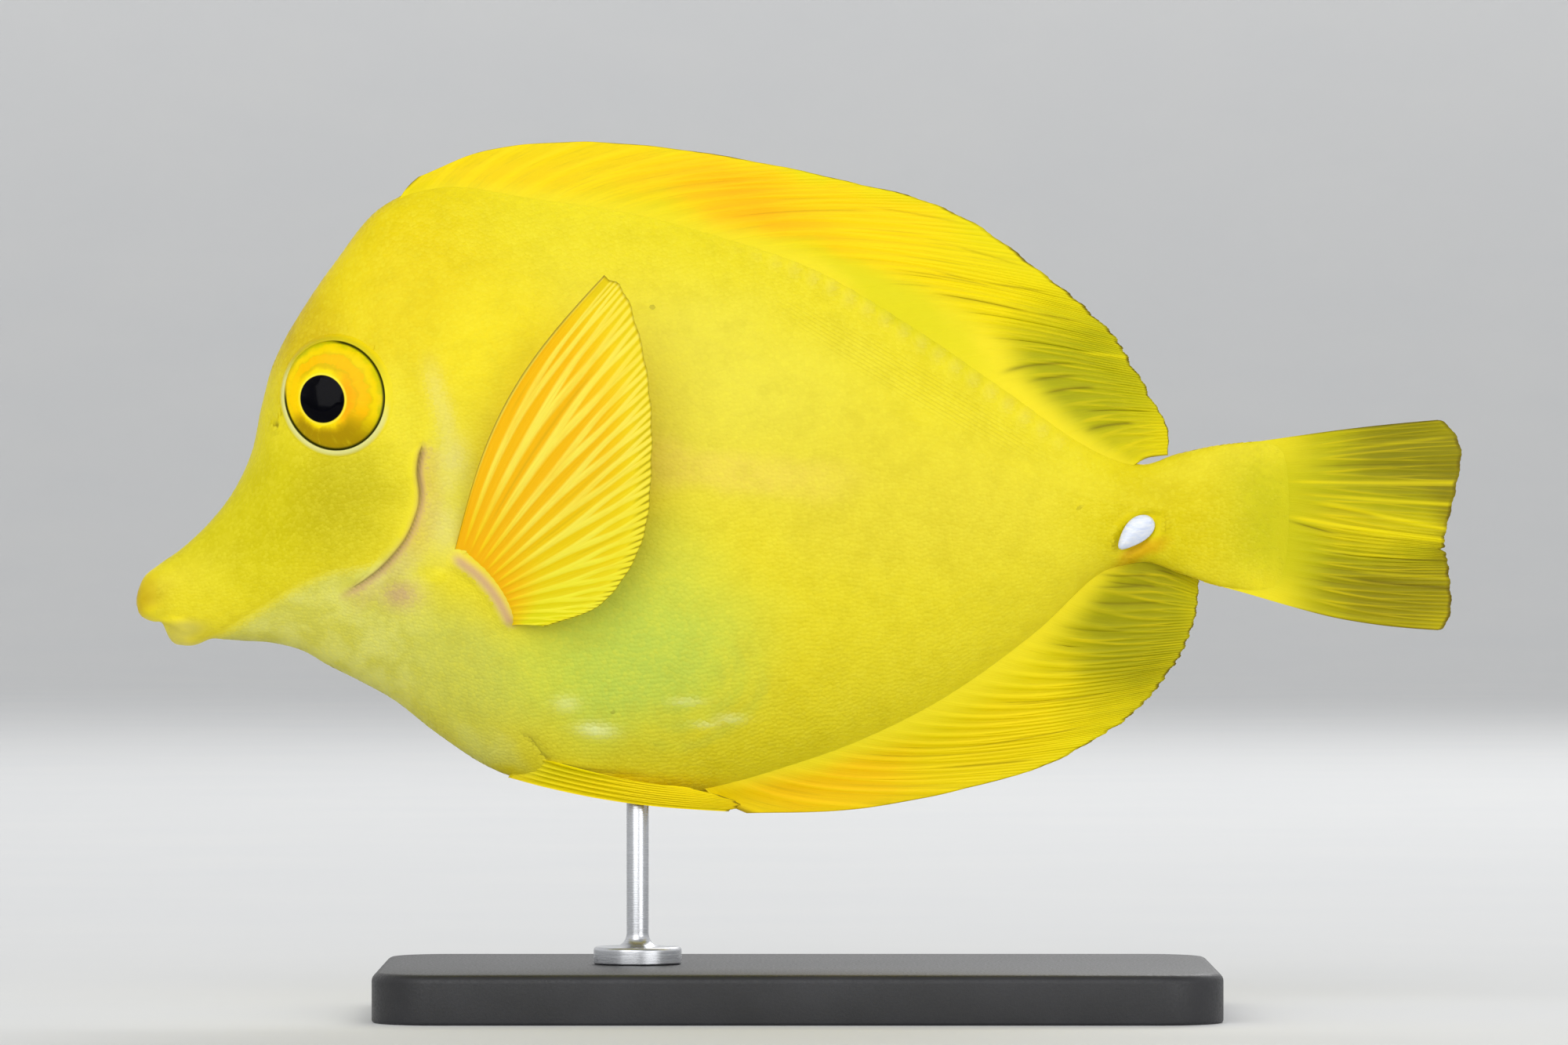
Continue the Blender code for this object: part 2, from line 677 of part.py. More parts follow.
def make_stand(painted, steel):
    """A flat plate with rounded corners and a turned rod with a round foot."""
    length, width, height = BASE_SIZE
    bm = bmesh.new()
    bmesh.ops.create_cube(bm, size=1, matrix=Matrix.Diagonal((length, width, height, 1)))
    bmesh.ops.translate(bm, verts=bm.verts, vec=(0, 0, height / 2))
    upright = [e for e in bm.edges if abs(e.verts[0].co.z - e.verts[1].co.z) > height / 2]
    bmesh.ops.bevel(bm, geom=upright, offset=BASE_CORNER, segments=8, profile=0.5, affect="EDGES")
    raised = [e for e in bm.edges if min(v.co.z for v in e.verts) > height / 2]
    rim = [e for e in raised if len({f.normal.z > 0.5 for f in e.link_faces}) == 2]
    bmesh.ops.bevel(bm, geom=rim, offset=BASE_BEVEL, segments=3, profile=0.5, affect="EDGES")
    finish(object_from(bm, "stand_base"), painted)

    foot = height + TOUCH_GAP
    profile = [
        (0, ROD_TOP),
        (ROD_RADIUS * 0.7, ROD_TOP),
        (ROD_RADIUS, ROD_TOP - ROD_RADIUS * 0.3),
        (ROD_RADIUS, foot + ROD_FOOT_HEIGHT * 1.6),
        (ROD_RADIUS * 1.5, foot + ROD_FOOT_HEIGHT),
        (ROD_FOOT_RADIUS * 0.9, foot + ROD_FOOT_HEIGHT * 0.8),
        (ROD_FOOT_RADIUS, foot + ROD_FOOT_HEIGHT * 0.6),
        (ROD_FOOT_RADIUS, foot),
        (0, foot),
    ]
    bm = bmesh.new()
    ring = [bm.verts.new((x, 0, z)) for x, z in profile]
    for first, second in zip(ring, ring[1:]):
        bm.edges.new((first, second))
    mesh = bpy.data.meshes.new("stand_rod")
    bm.to_mesh(mesh)
    bm.free()
    rod = bpy.data.objects.new("stand_rod", mesh)
    MODEL.objects.link(rod)
    turning = rod.modifiers.new("turned", "SCREW")
    turning.steps = turning.render_steps = 24
    turning.use_merge_vertices = True
    turning.merge_threshold = 1e-5
    rod.location.x = ROD_X
    bpy.context.view_layer.update()
    apply_modifiers(rod)
    finish(rod, steel)


def main():
    clear_scene()
    new_collections()
    flesh = material("skin", (0.86, 0.70, 0.03), 0.45)
    membrane = material("fin_membrane", (0.72, 0.62, 0.02), 0.4)
    glassy = material("eye", (0.65, 0.45, 0.02), 0.1)
    horn = material("tail_spine_horn", (0.85, 0.87, 0.92), 0.35)
    painted = material("stand_paint", (0.03, 0.03, 0.035), 0.4)
    steel = material("stand_steel", (0.62, 0.63, 0.65), 0.25, 1.0)
    find = make_trunk_parts(flesh)
    make_eyes_and_tail_spines(find, glassy, horn)
    make_median_fins(membrane)
    make_pectoral_fins(find, membrane)
    make_pelvic_fins(membrane)
    make_stand(painted, steel)


main()
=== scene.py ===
"""A life-size yellow tang on a small display stand: its skin, scales, eyes, fins and stand.

The fish swims towards -X with its left side towards the camera at -Y. Everything is in metres.
"""

import math

import bmesh
import bpy
import numpy as np
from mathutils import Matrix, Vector
from mathutils.bvhtree import BVHTree


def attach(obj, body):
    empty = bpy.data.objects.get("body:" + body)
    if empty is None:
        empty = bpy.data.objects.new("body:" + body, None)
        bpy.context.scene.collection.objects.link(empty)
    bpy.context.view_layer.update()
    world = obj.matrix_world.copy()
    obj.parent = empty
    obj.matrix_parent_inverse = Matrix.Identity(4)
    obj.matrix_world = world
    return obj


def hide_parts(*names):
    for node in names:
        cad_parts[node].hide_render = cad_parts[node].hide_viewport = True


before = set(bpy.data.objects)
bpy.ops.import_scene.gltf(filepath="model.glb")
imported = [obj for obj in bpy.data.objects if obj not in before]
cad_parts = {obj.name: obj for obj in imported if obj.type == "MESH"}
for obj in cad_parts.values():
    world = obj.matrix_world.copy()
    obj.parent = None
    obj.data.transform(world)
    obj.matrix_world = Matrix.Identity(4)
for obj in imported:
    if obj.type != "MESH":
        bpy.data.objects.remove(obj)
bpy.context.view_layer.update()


# Skin. The fish's hide over the head, jaw, gill covers, trunk and tail root is one smooth body lofted through
# rings from snout to tail, then raised and sunk into lips, gill covers, muscle bumps, creases and nostrils.
# It is wet, finely grained and yellow, paler on the flank and greenish silver on the throat and belly.
MM = 0.001
FISH_LENGTH = 120 * MM
TAIL_SWAY = 5.0 * MM

# Back line x, z, belly line x, z, half width, then how sharply back and belly narrow and how high the
# widest is
STATIONS = np.array(
    [
        (-60.0, 37.8, -60.0, 37.1, 0.3, 1.00, 1.00, 0.50),
        (-59.8, 38.6, -59.6, 36.2, 1.1, 0.95, 0.95, 0.50),
        (-59.2, 39.8, -58.5, 35.7, 1.6, 0.95, 0.95, 0.50),
        (-57.8, 40.9, -56.6, 35.0, 2.0, 0.95, 0.95, 0.50),
        (-55.7, 42.4, -53.8, 34.2, 2.4, 0.95, 0.95, 0.50),
        (-53.2, 44.8, -50.7, 33.9, 2.9, 0.95, 1.00, 0.50),
        (-51.1, 47.6, -47.8, 33.7, 3.5, 0.95, 1.05, 0.50),
        (-49.5, 51.1, -45.0, 33.0, 4.3, 0.90, 1.10, 0.52),
        (-48.6, 55.3, -42.5, 31.6, 5.1, 0.85, 1.15, 0.54),
        (-47.5, 59.3, -39.7, 30.2, 5.8, 0.85, 1.15, 0.55),
        (-45.2, 63.5, -36.5, 28.4, 6.5, 0.90, 1.20, 0.54),
        (-42.0, 68.2, -32.5, 25.3, 7.1, 1.00, 1.20, 0.52),
        (-37.8, 73.2, -27.6, 22.2, 7.6, 1.15, 1.20, 0.50),
        (-31.8, 75.4, -21.9, 20.5, 7.8, 1.40, 1.25, 0.48),
        (-24.0, 74.6, -14.7, 19.8, 7.7, 1.55, 1.35, 0.47),
        (-15.5, 73.4, -8.3, 20.2, 7.4, 1.60, 1.50, 0.47),
        (-7.6, 71.4, -1.2, 21.9, 6.7, 1.60, 1.60, 0.48),
        (1.6, 68.2, 6.6, 24.7, 5.7, 1.60, 1.60, 0.49),
        (10.2, 63.2, 14.1, 28.6, 4.7, 1.60, 1.60, 0.50),
        (18.7, 57.2, 21.6, 34.2, 3.6, 1.50, 1.50, 0.50),
        (25.8, 52.0, 27.3, 39.7, 2.7, 1.30, 1.30, 0.50),
        (30.8, 49.9, 31.2, 41.0, 2.2, 1.10, 1.10, 0.50),
        (34.4, 50.8, 34.4, 40.1, 1.8, 1.05, 1.05, 0.50),
        (37.6, 51.5, 37.6, 39.0, 1.35, 1.00, 1.00, 0.50),
        (40.0, 51.8, 40.0, 38.5, 0.95, 1.00, 1.00, 0.50),
        (42.2, 52.0, 42.2, 38.2, 0.55, 1.00, 1.00, 0.50),
        (44.0, 52.0, 44.0, 38.2, 0.22, 0.90, 0.90, 0.50),
        (45.4, 51.8, 45.4, 38.4, 0.03, 0.90, 0.90, 0.50),
    ]
) * np.array([MM, MM, MM, MM, MM, 1, 1, 1])
SKIN_STEPS = (0.19 * MM, 0.24 * MM, 0.52 * MM, 0.34 * MM)  # ring spacing at snout, gills, flank and tail
SKIN_STEP_PLACES = (-60 * MM, -34 * MM, -10 * MM, 41 * MM)
SKIN_COLUMNS = 288
LIPS = (  # middle and radii of the upper and the lower lip
    ((-58.4 * MM, 0, 37.0 * MM), (1.5 * MM, 1.85 * MM, 1.4 * MM)),
    ((-55.4 * MM, 0, 34.7 * MM), (2.1 * MM, 2.2 * MM, 1.3 * MM)),
)
LIP_SOFTNESS = 7  # rounds of smoothing where the lips run into the snout
EYE_AT = (-41.75 * MM, 56.05 * MM)
EYE_AXIS = Vector((-0.24, -0.96, 0.10)).normalized()  # of the left eye
ORBIT_RADII = (5.12 * MM, 4.68 * MM)  # along and across its long axis
ORBIT_LEAN = math.radians(62)  # of the long axis, upward from forward
ORBIT_DEPTH = 2.2 * MM
EYE_BACK = -4 * MM  # how far along its axis the eye reaches into the head
TAIL_SPINE_AT = (30.6 * MM, 43.6 * MM)
TAIL_SPINE_TILT = math.radians(42)

# Lines on the fish's side, as x, z in millimetres
GILL_EDGE = [
    (-33.6, 52.2), (-34.1, 50.7), (-34.3, 49.1), (-34.1, 47.2), (-34.4, 45.4), (-35.5, 43.0), (-37.6, 40.6),
    (-39.9, 38.9), (-42.2, 37.6),
]
CHEEK_EDGE = [(-36.6, 53.2), (-37.6, 50.6), (-38.9, 47.9), (-40.2, 44.5), (-41.6, 41.3), (-43.6, 38.6)]
SHOULDER_RIDGE = [(-33.8, 60.8), (-33.0, 57.2), (-31.9, 53.5), (-31.5, 49.7), (-32.2, 45.5)]
MOUTH_SLIT = [(-58.8, 35.35), (-57.7, 35.42), (-56.6, 35.4), (-55.3, 35.1)]
THROAT_EDGE = [
    (-54.6, 33.6), (-52.7, 34.5), (-49.0, 36.7), (-45.9, 38.6),
    (-42.4, 40.2), (-38.6, 41.0), (-36.6, 42.6),
]
BROW_FURROW = [(-46.0, 61.8), (-47.2, 58.8), (-47.7, 55.8), (-47.2, 52.6)]
LATERAL_LINE = [
    (-32.5, 58.5), (-27, 61.5), (-18, 62.8), (-8, 61.0), (2, 57.2),
    (14, 51.8), (24, 47.7), (31, 46.0), (38, 45.2),
]
PECTORAL_ROOT = [(-31.4, 41.8), (-30.2, 40.9), (-28.6, 39.6), (-27.2, 37.9), (-26.1, 35.9), (-25.7, 34.9)]
BELLY_CREASE = [(-25.6, 25.8), (-24.2, 25.0), (-22.8, 23.2), (-20.5, 22.2), (-16, 21.7), (-10, 21.2)]
DORSAL_ROOT = [
    (-34, 75.3), (-24.0, 74.6), (-15.5, 73.4), (-7.6, 71.4),
    (1.6, 68.2), (10.2, 63.2), (18.7, 57.2), (25.8, 52.0),
    (29.5, 50.2),
]
ANAL_ROOT = [(-8.3, 20.2), (-1.2, 21.9), (6.6, 24.7), (14.1, 28.6), (21.6, 34.2), (27.3, 39.7)]
NOSTRILS = ((-47.2, 53.4, 0.34), (-46.5, 54.6, 0.26))
# Painted highlights: pale bright spots where the belly's iridescence flashes, as middle x, z and radii across
# and up in millimetres
PAINTED_BELLY_HIGHLIGHTS = (
    (-21.2, 28.3, 1.1, 0.7), (-10.4, 28.4, 1.4, 0.35),
    (-6.4, 26.8, 1.3, 0.4), (-8.6, 26.3, 1.2, 0.3),
)
GILL_STEP = 0.26  # how far the gill cover stands off the shoulder, in millimetres


def smooth_through(knots, values, at):
    """Values of the smooth curve through (knots, values), read at the given places."""
    values = np.asarray(values, float)
    steps = np.diff(knots)
    shape = (-1,) + (1,) * (values.ndim - 1)
    slopes = np.diff(values, axis=0) / steps.reshape(shape)
    before, after = steps[:-1].reshape(shape), steps[1:].reshape(shape)
    inner = (slopes[:-1] * after + slopes[1:] * before) / (before + after)
    tangents = np.concatenate([slopes[:1], inner, slopes[-1:]])
    cell = np.clip(np.searchsorted(knots, at, side="right") - 1, 0, len(steps) - 1)
    width = steps[cell].reshape(shape)
    t = ((at - knots[cell]) / steps[cell]).reshape(shape)
    left, right = values[cell], values[cell + 1]
    return (
        (1 + 2 * t) * (1 - t) ** 2 * left
        + t * (1 - t) ** 2 * width * tangents[cell]
        + t**2 * (3 - 2 * t) * right
        + t**2 * (t - 1) * width * tangents[cell + 1]
    )


def ease(t):
    """0 below 0, 1 above 1 and a soft rise between."""
    t = np.clip(t, 0, 1)
    return t * t * (3 - 2 * t)


def bell(distance, width):
    return np.exp(-((distance / width) ** 2))


def faded(share, start, end):
    """Strength by the share of a line passed, rising over its start and falling over its end."""
    return ease(share / start) * ease((1 - share) / end)


def blot(x, z, middle_x, middle_z, across, up):
    """Strength of a soft oval spot in the side view."""
    return bell(np.hypot((x - middle_x) / across, (z - middle_z) / up), 1.0)


def strongest(*parts):
    """The greatest of several strengths at each place."""
    return np.maximum.reduce(parts)


def sway(x):
    """Sideways swing of the body at x, which grows towards the tail."""
    t = np.clip(x / (FISH_LENGTH / 2), 0, None)
    return -TAIL_SWAY * t**2 * (1.5 - 0.5 * t)


def measured_from(line, x, z):
    """Distance from a side-view line and the share of it passed.

    The distance is positive to the right of the line's run, as the camera sees it.
    """
    line = np.asarray(line, float)
    knots = np.arange(len(line), dtype=float)
    path = smooth_through(knots, line, np.linspace(0, knots[-1], 6 * len(line)))
    starts, spans = path[:-1], np.diff(path, axis=0)
    lengths = np.linalg.norm(spans, axis=1)
    passed = np.concatenate([[0], np.cumsum(lengths)])
    best = np.full(np.shape(x), np.inf)
    signed = np.zeros(np.shape(x))
    share = np.zeros(np.shape(x))
    for start, span, length, done in zip(starts, spans, lengths, passed):
        off_x, off_z = x - start[0], z - start[1]
        t = np.clip((off_x * span[0] + off_z * span[1]) / length**2, 0, 1)
        distance = np.hypot(off_x - t * span[0], off_z - t * span[1])
        nearer = distance < best
        best = np.where(nearer, distance, best)
        side = np.where(off_x * span[1] - off_z * span[0] > 0, 1, -1)
        signed = np.where(nearer, side * distance, signed)
        share = np.where(nearer, (done + t * length) / passed[-1], share)
    return signed, share


def unit(vectors):
    return vectors / np.maximum(np.linalg.norm(vectors, axis=-1, keepdims=True), 1e-12)


def bare_trunk():
    """Points of the trunk before its relief, as rings of columns."""
    knots = np.arange(len(STATIONS), dtype=float)
    middle = (STATIONS[:, 0] + STATIONS[:, 2]) / 2
    places = [0.0]
    while places[-1] < knots[-1]:
        x = np.interp(places[-1], knots, middle)
        slope = np.interp(places[-1], knots, np.gradient(middle))
        places.append(places[-1] + np.interp(x, SKIN_STEP_PLACES, SKIN_STEPS) / max(slope, 0.5 * MM))
    places[-1] = knots[-1]
    station = smooth_through(knots, STATIONS, np.array(places))[:, None, :].T
    top_x, top_z, low_x, low_z, half_width, top_pinch, low_pinch, widest = station
    turn = np.linspace(0, math.pi, 2000)
    crowding = np.cumsum(np.sin(turn) + 0.25)
    half_turns = np.interp(np.linspace(crowding[0], crowding[-1], SKIN_COLUMNS // 2 + 1), crowding, turn)
    turns = np.concatenate([half_turns[:-1], 2 * math.pi - half_turns[:0:-1]])[:, None]
    rise = np.cos(turns)
    share = widest + rise * np.where(rise > 0, 1 - widest, widest)
    pinch = np.where(rise > 0, top_pinch, low_pinch)
    side = np.abs(np.sin(turns)) ** pinch * np.where(turns < math.pi, -1, 1)
    x = low_x + share * (top_x - low_x)
    points = np.stack([x, half_width * side + sway(x), low_z + share * (top_z - low_z)], axis=-1)
    return points.transpose(1, 0, 2)


def grid_normals(points):
    """Outward normals of rings of columns that close on themselves."""
    along = np.gradient(points, axis=0)
    around = np.roll(points, -1, axis=1) - np.roll(points, 1, axis=1)
    return unit(np.cross(around, along))


def lip_relief(points, normals):
    """How far the skin is pushed out to lie on the lips."""
    push = np.zeros(points.shape[:-1])
    for middle, radii in LIPS:
        start = (points - np.array(middle)) / np.array(radii)
        way = normals / np.array(radii)
        a, b, c = (way**2).sum(-1), (start * way).sum(-1), (start**2).sum(-1) - 1
        inside = c < 0
        reach = (-b + np.sqrt(np.maximum(b * b - a * c, 0))) / a
        push = np.maximum(push, np.where(inside, reach, 0))
    for _ in range(LIP_SOFTNESS):
        beside = np.roll(push, 1, axis=1) + np.roll(push, -1, axis=1)
        push = (2 * push + beside + np.roll(beside, 4, axis=1) / 2 + np.roll(beside, -4, axis=1) / 2) / 6
        push[1:-1] = (2 * push[1:-1] + push[:-2] + push[2:]) / 4
    return push


def root_bumps(x, z, line, rows, start):
    """Soft bumps in a row along the foot of a fin, over the muscles of its rays."""
    base, share = measured_from(line, x, z)
    row = 0.5 + 0.5 * np.cos(2 * math.pi * share * rows)
    ends = ease((share - start) / 0.2) * ease((0.97 - share) / 0.1)
    return ends * bell(base - 1.3, 0.75) * row


# Ridges and creases along the lines: the line, how it fades at its start and end, then the height, distance
# off the line and width of each, in millimetres
RELIEF_LINES = (
    (GILL_EDGE, 0.1, 0.25, ((-0.15, -0.35, 0.5),)),
    (CHEEK_EDGE, 0.2, 0.2, ((0.05, 1.0, 1.2), (-0.05, 0.0, 0.8))),
    (SHOULDER_RIDGE, 0.3, 0.3, ((0.07, 0.0, 0.9),)),
    (THROAT_EDGE, 0.2, 0.3, ((-0.07, 0.0, 0.35),)),
    (BROW_FURROW, 0.25, 0.25, ((-0.08, 0.0, 0.6),)),
    (PECTORAL_ROOT, 0.12, 0.12, ((0.45, -0.25, 0.75), (0.16, 0.5, 0.45))),
    (BELLY_CREASE, 0.15, 0.4, ((-0.16, 0.0, 0.3),)),
    (LATERAL_LINE, 0.1, 0.1, ((0.05, 0.0, 0.3),)),
)
DORSAL_BUMPS = (DORSAL_ROOT, 36, 0.36)  # line, number of bumps and share of the line where they start
ANAL_BUMPS = (ANAL_ROOT, 24, 0.1)


def side_relief(x, z):
    """Height of the relief at side-view places in millimetres, in millimetres."""
    gill, gill_share = measured_from(GILL_EDGE, x, z)
    step = ease((gill + 0.1) / 0.5) * np.exp(-np.maximum(gill, 0) / 3.4)
    height = GILL_STEP * faded(gill_share, 0.1, 0.25) * step
    for line, start, end, forms in RELIEF_LINES:
        off, share = measured_from(line, x, z)
        for rise, away, width in forms:
            height += rise * faded(share, start, end) * bell(off - away, width)
    mouth, mouth_share = measured_from(MOUTH_SLIT, x, z)
    height -= 0.26 * (1 - 0.7 * mouth_share) * bell(mouth, 0.17)
    height += 0.1 * bell(mouth - 0.55, 0.3) * ease((1 - mouth_share) / 0.2)
    for nostril_x, nostril_z, radius in NOSTRILS:
        away = np.hypot(x - nostril_x, z - nostril_z)
        height += 0.1 * bell(away - 1.5 * radius, 0.5 * radius) - 0.34 * bell(away, 0.75 * radius)
    height += 0.1 * root_bumps(x, z, *DORSAL_BUMPS) + 0.05 * root_bumps(x, z, *ANAL_BUMPS)
    spine_x, spine_z = x - TAIL_SPINE_AT[0] / MM, z - TAIL_SPINE_AT[1] / MM
    cos, sin = math.cos(TAIL_SPINE_TILT), math.sin(TAIL_SPINE_TILT)
    length_way, width_way = spine_x * cos + spine_z * sin, spine_z * cos - spine_x * sin
    slot = np.hypot(length_way / 2.6, width_way / 1.35)
    return height + 0.1 * bell(slot - 1.25, 0.3) - 0.3 * ease((1.08 - slot) / 0.25)


def oval_share(forward, up, radii, lean):
    """Distance from the middle of a leaning oval, as a share of its radius."""
    cos, sin = math.cos(lean), math.sin(lean)
    return np.hypot((forward * cos + up * sin) / radii[0], (up * cos - forward * sin) / radii[1])


def on_trunk(x, z, side):
    """Where the trunk's surface lies on one side at a side-view place, and the way it faces."""
    hit, normal, _, _ = bare_surface.ray_cast(Vector((x, side * FISH_LENGTH, z)), Vector((0, -side, 0)))
    return hit, normal


def eye_frame(side):
    """Where the skin lies at the eye's middle, then the eye's forward, up and outward directions."""
    point, _ = on_trunk(*EYE_AT, side)
    axis = np.array([EYE_AXIS.x, -side * EYE_AXIS.y, EYE_AXIS.z])
    across = unit(np.cross((0, 0, 1), axis))
    return np.array(point), across * -np.sign(across[0]), np.cross(axis, across), axis


def orbit_share(points, side):
    """Distance from the eye's middle as a share of the orbit's radius, and how far out along its axis."""
    centre, forward, up, axis = eye_frame(side)
    off = points - centre
    return oval_share(off @ forward, off @ up, ORBIT_RADII, ORBIT_LEAN), off @ axis


def orbit_relief(points):
    """Depth of the eye sockets, in which the eyes lie."""
    depth = np.zeros(points.shape[:-1])
    for side in (-1, 1):
        share, out = orbit_share(points, side)
        depth = np.where(out > EYE_BACK, np.maximum(depth, ease((1 - share) / 0.07)), depth)
    return -ORBIT_DEPTH * depth


DARK_DOTS = ((-13.4, 64.2, 0.14), (-17.1, 27.4, 0.14), (25.3, 45.9, 0.14))  # middle x, z and radius


def side_lines(x, z):
    """Strength of the pink lines, the dark marks and the pale lines and spots at side-view places in
    millimetres. The dark marks are painted shade in the gill slit, mouth slit, belly crease, brow furrow and
    nostrils, and a few dark freckles.
    """
    gill, gill_share = measured_from(GILL_EDGE, x, z)
    gill_fade = faded(gill_share, 0.08, 0.15)
    root, root_share = measured_from(PECTORAL_ROOT, x, z)
    root_fade = faded(root_share, 0.15, 0.1)
    ridge, ridge_share = measured_from(SHOULDER_RIDGE, x, z)
    mouth, mouth_share = measured_from(MOUTH_SLIT, x, z)
    belly, belly_share = measured_from(BELLY_CREASE, x, z)
    belly_fade = ease(belly_share / 0.1) * ease((0.5 - belly_share) / 0.2)
    brow, _ = measured_from(BROW_FURROW, x, z)
    dots = [(dot_x, dot_z, 0.8 * radius) for dot_x, dot_z, radius in NOSTRILS] + list(DARK_DOTS)
    pink = strongest(
        gill_fade * (0.7 * bell(gill + 0.3, 0.34) + 0.25 * bell(gill + 1.2, 0.9)),
        0.75 * blot(x, z, -36.1, 38.2, 1.75, 1.25),
        0.85 * root_fade * bell(root + 0.1, 0.5),
    )
    # Painted shade in the gill slit, the mouth slit, the belly crease, the brow furrow and the nostrils, and
    # the dark freckles
    dark = strongest(
        0.6 * gill_fade * ease((0.42 - gill_share) / 0.2) * bell(gill + 0.12, 0.24),
        0.32 * gill_fade * bell(gill + 0.1, 0.13),
        0.3 * (1 - mouth_share) * bell(mouth, 0.14),
        0.5 * belly_fade * bell(belly, 0.2),
        0.1 * bell(brow, 0.5),
        *(0.6 * blot(x, z, dot_x, dot_z, radius, radius) for dot_x, dot_z, radius in dots),
    )
    pale = strongest(
        0.34 * faded(ridge_share, 0.3, 0.2) * bell(ridge, 0.9),
        0.5 * blot(x, z, -31.3, 50.4, 1.3, 2.2),
        0.5 * blot(x, z, -32.1, 44.0, 1.6, 2.4),
        0.4 * blot(x, z, -55.9, 34.2, 1.4, 0.8),
        0.5 * root_fade * bell(root - 0.1, 0.3),
        0.14 * root_bumps(x, z, *DORSAL_BUMPS),
    )
    return np.stack([pink, dark, pale], axis=-1)


def side_zones(x, z):
    """Strength of the throat's silver, the belly's green bands and the painted highlights of its bright
    iridescent flash at side-view places.
    """
    throat, _ = measured_from(THROAT_EDGE, x, z)
    below = ease((throat + 0.3) / 1.3) * ease((x + 55.2) / 1.5) * ease((-31 - x) / 7) * ease((44 - z) / 3)
    gut_x, gut_z = (x + 11.8) / 1.12, z - 32.2
    radius, angle = np.hypot(gut_x, gut_z), np.arctan2(gut_z, gut_x)
    swirl = radius + 0.5 * np.sin(2.2 * angle + 0.6) + 0.25 * np.sin(5 * angle)
    bands = 0.5 + 0.5 * np.cos(2 * math.pi * swirl / 1.9)
    bands *= ease((swirl - 1.5) / 3) * ease((9.8 - swirl) / 3) * ease((1.5 - np.abs(angle + 0.9)) / 1.1)
    # Painted highlights: the belly's bright iridescent flash, one long streak and a few spots
    belly_highlights = strongest(
        0.95 * blot(x + 0.5 * (z - 26), z, -18.6, 25.9, 1.5, 0.62),
        *(0.5 * blot(x, z, *fleck) for fleck in PAINTED_BELLY_HIGHLIGHTS),
    )
    return np.stack([below, bands, belly_highlights], axis=-1)


def quads_between_rings(rings, columns, closed):
    """Corner numbers of the faces between rings of points, each ring closed on itself or open."""
    i = np.arange(rings - 1)[:, None] * columns
    j = np.arange(columns if closed else columns - 1)[None, :]
    n = (j + 1) % columns
    return np.stack([i + j, i + n, i + columns + n, i + columns + j], axis=-1).reshape(-1, 4)


def capped_faces(rings, columns):
    """Faces of a tube of closed rings, with a flat face over each end."""
    faces = quads_between_rings(rings, columns, closed=True).tolist()
    last = (rings - 1) * columns
    return [*faces, tuple(range(columns))[::-1], tuple(range(last, last + columns))]


def pointed_faces(rings, columns):
    """Faces of a tube of closed rings, whose ends run to two more points, the first end's first."""
    faces = quads_between_rings(rings, columns, closed=True).tolist()
    last, tip = (rings - 1) * columns, rings * columns
    for a in range(columns):
        b = (a + 1) % columns
        faces += [(tip, b, a), (tip + 1, last + a, last + b)]
    return faces


def sided(name, side):
    return f"{name}_{'left' if side < 0 else 'right'}"


def mesh_object(name, points, faces):
    """A new smooth object from points and faces, with the faces turned outward."""
    mesh = bpy.data.meshes.new(name)
    mesh.from_pydata(np.asarray(points).reshape(-1, 3).tolist(), [], [tuple(f) for f in faces])
    mesh.validate()
    mesh.shade_smooth()
    solid = bmesh.new()
    solid.from_mesh(mesh)
    if solid.calc_volume(signed=True) < 0:
        mesh.flip_normals()
    solid.free()
    obj = bpy.data.objects.new(name, mesh)
    bpy.context.scene.collection.objects.link(obj)
    return obj


def store(obj, name, values):
    """Keeps a number, or three, for each point of the object, for its material to read."""
    kind, slot = ("FLOAT", "value") if values.ndim == 1 else ("FLOAT_VECTOR", "vector")
    attribute = obj.data.attributes.new(name, kind, "POINT")
    attribute.data.foreach_set(slot, np.ascontiguousarray(values, dtype=np.float32).ravel())


def srgb(red, green, blue):
    """A colour given as 0 to 255 on a screen, as the linear colour that a shader takes."""
    shares = np.array([red, green, blue]) / 255
    linear = np.where(shares <= 0.04045, shares / 12.92, ((shares + 0.055) / 1.055) ** 2.4)
    return (*linear.tolist(), 1.0)


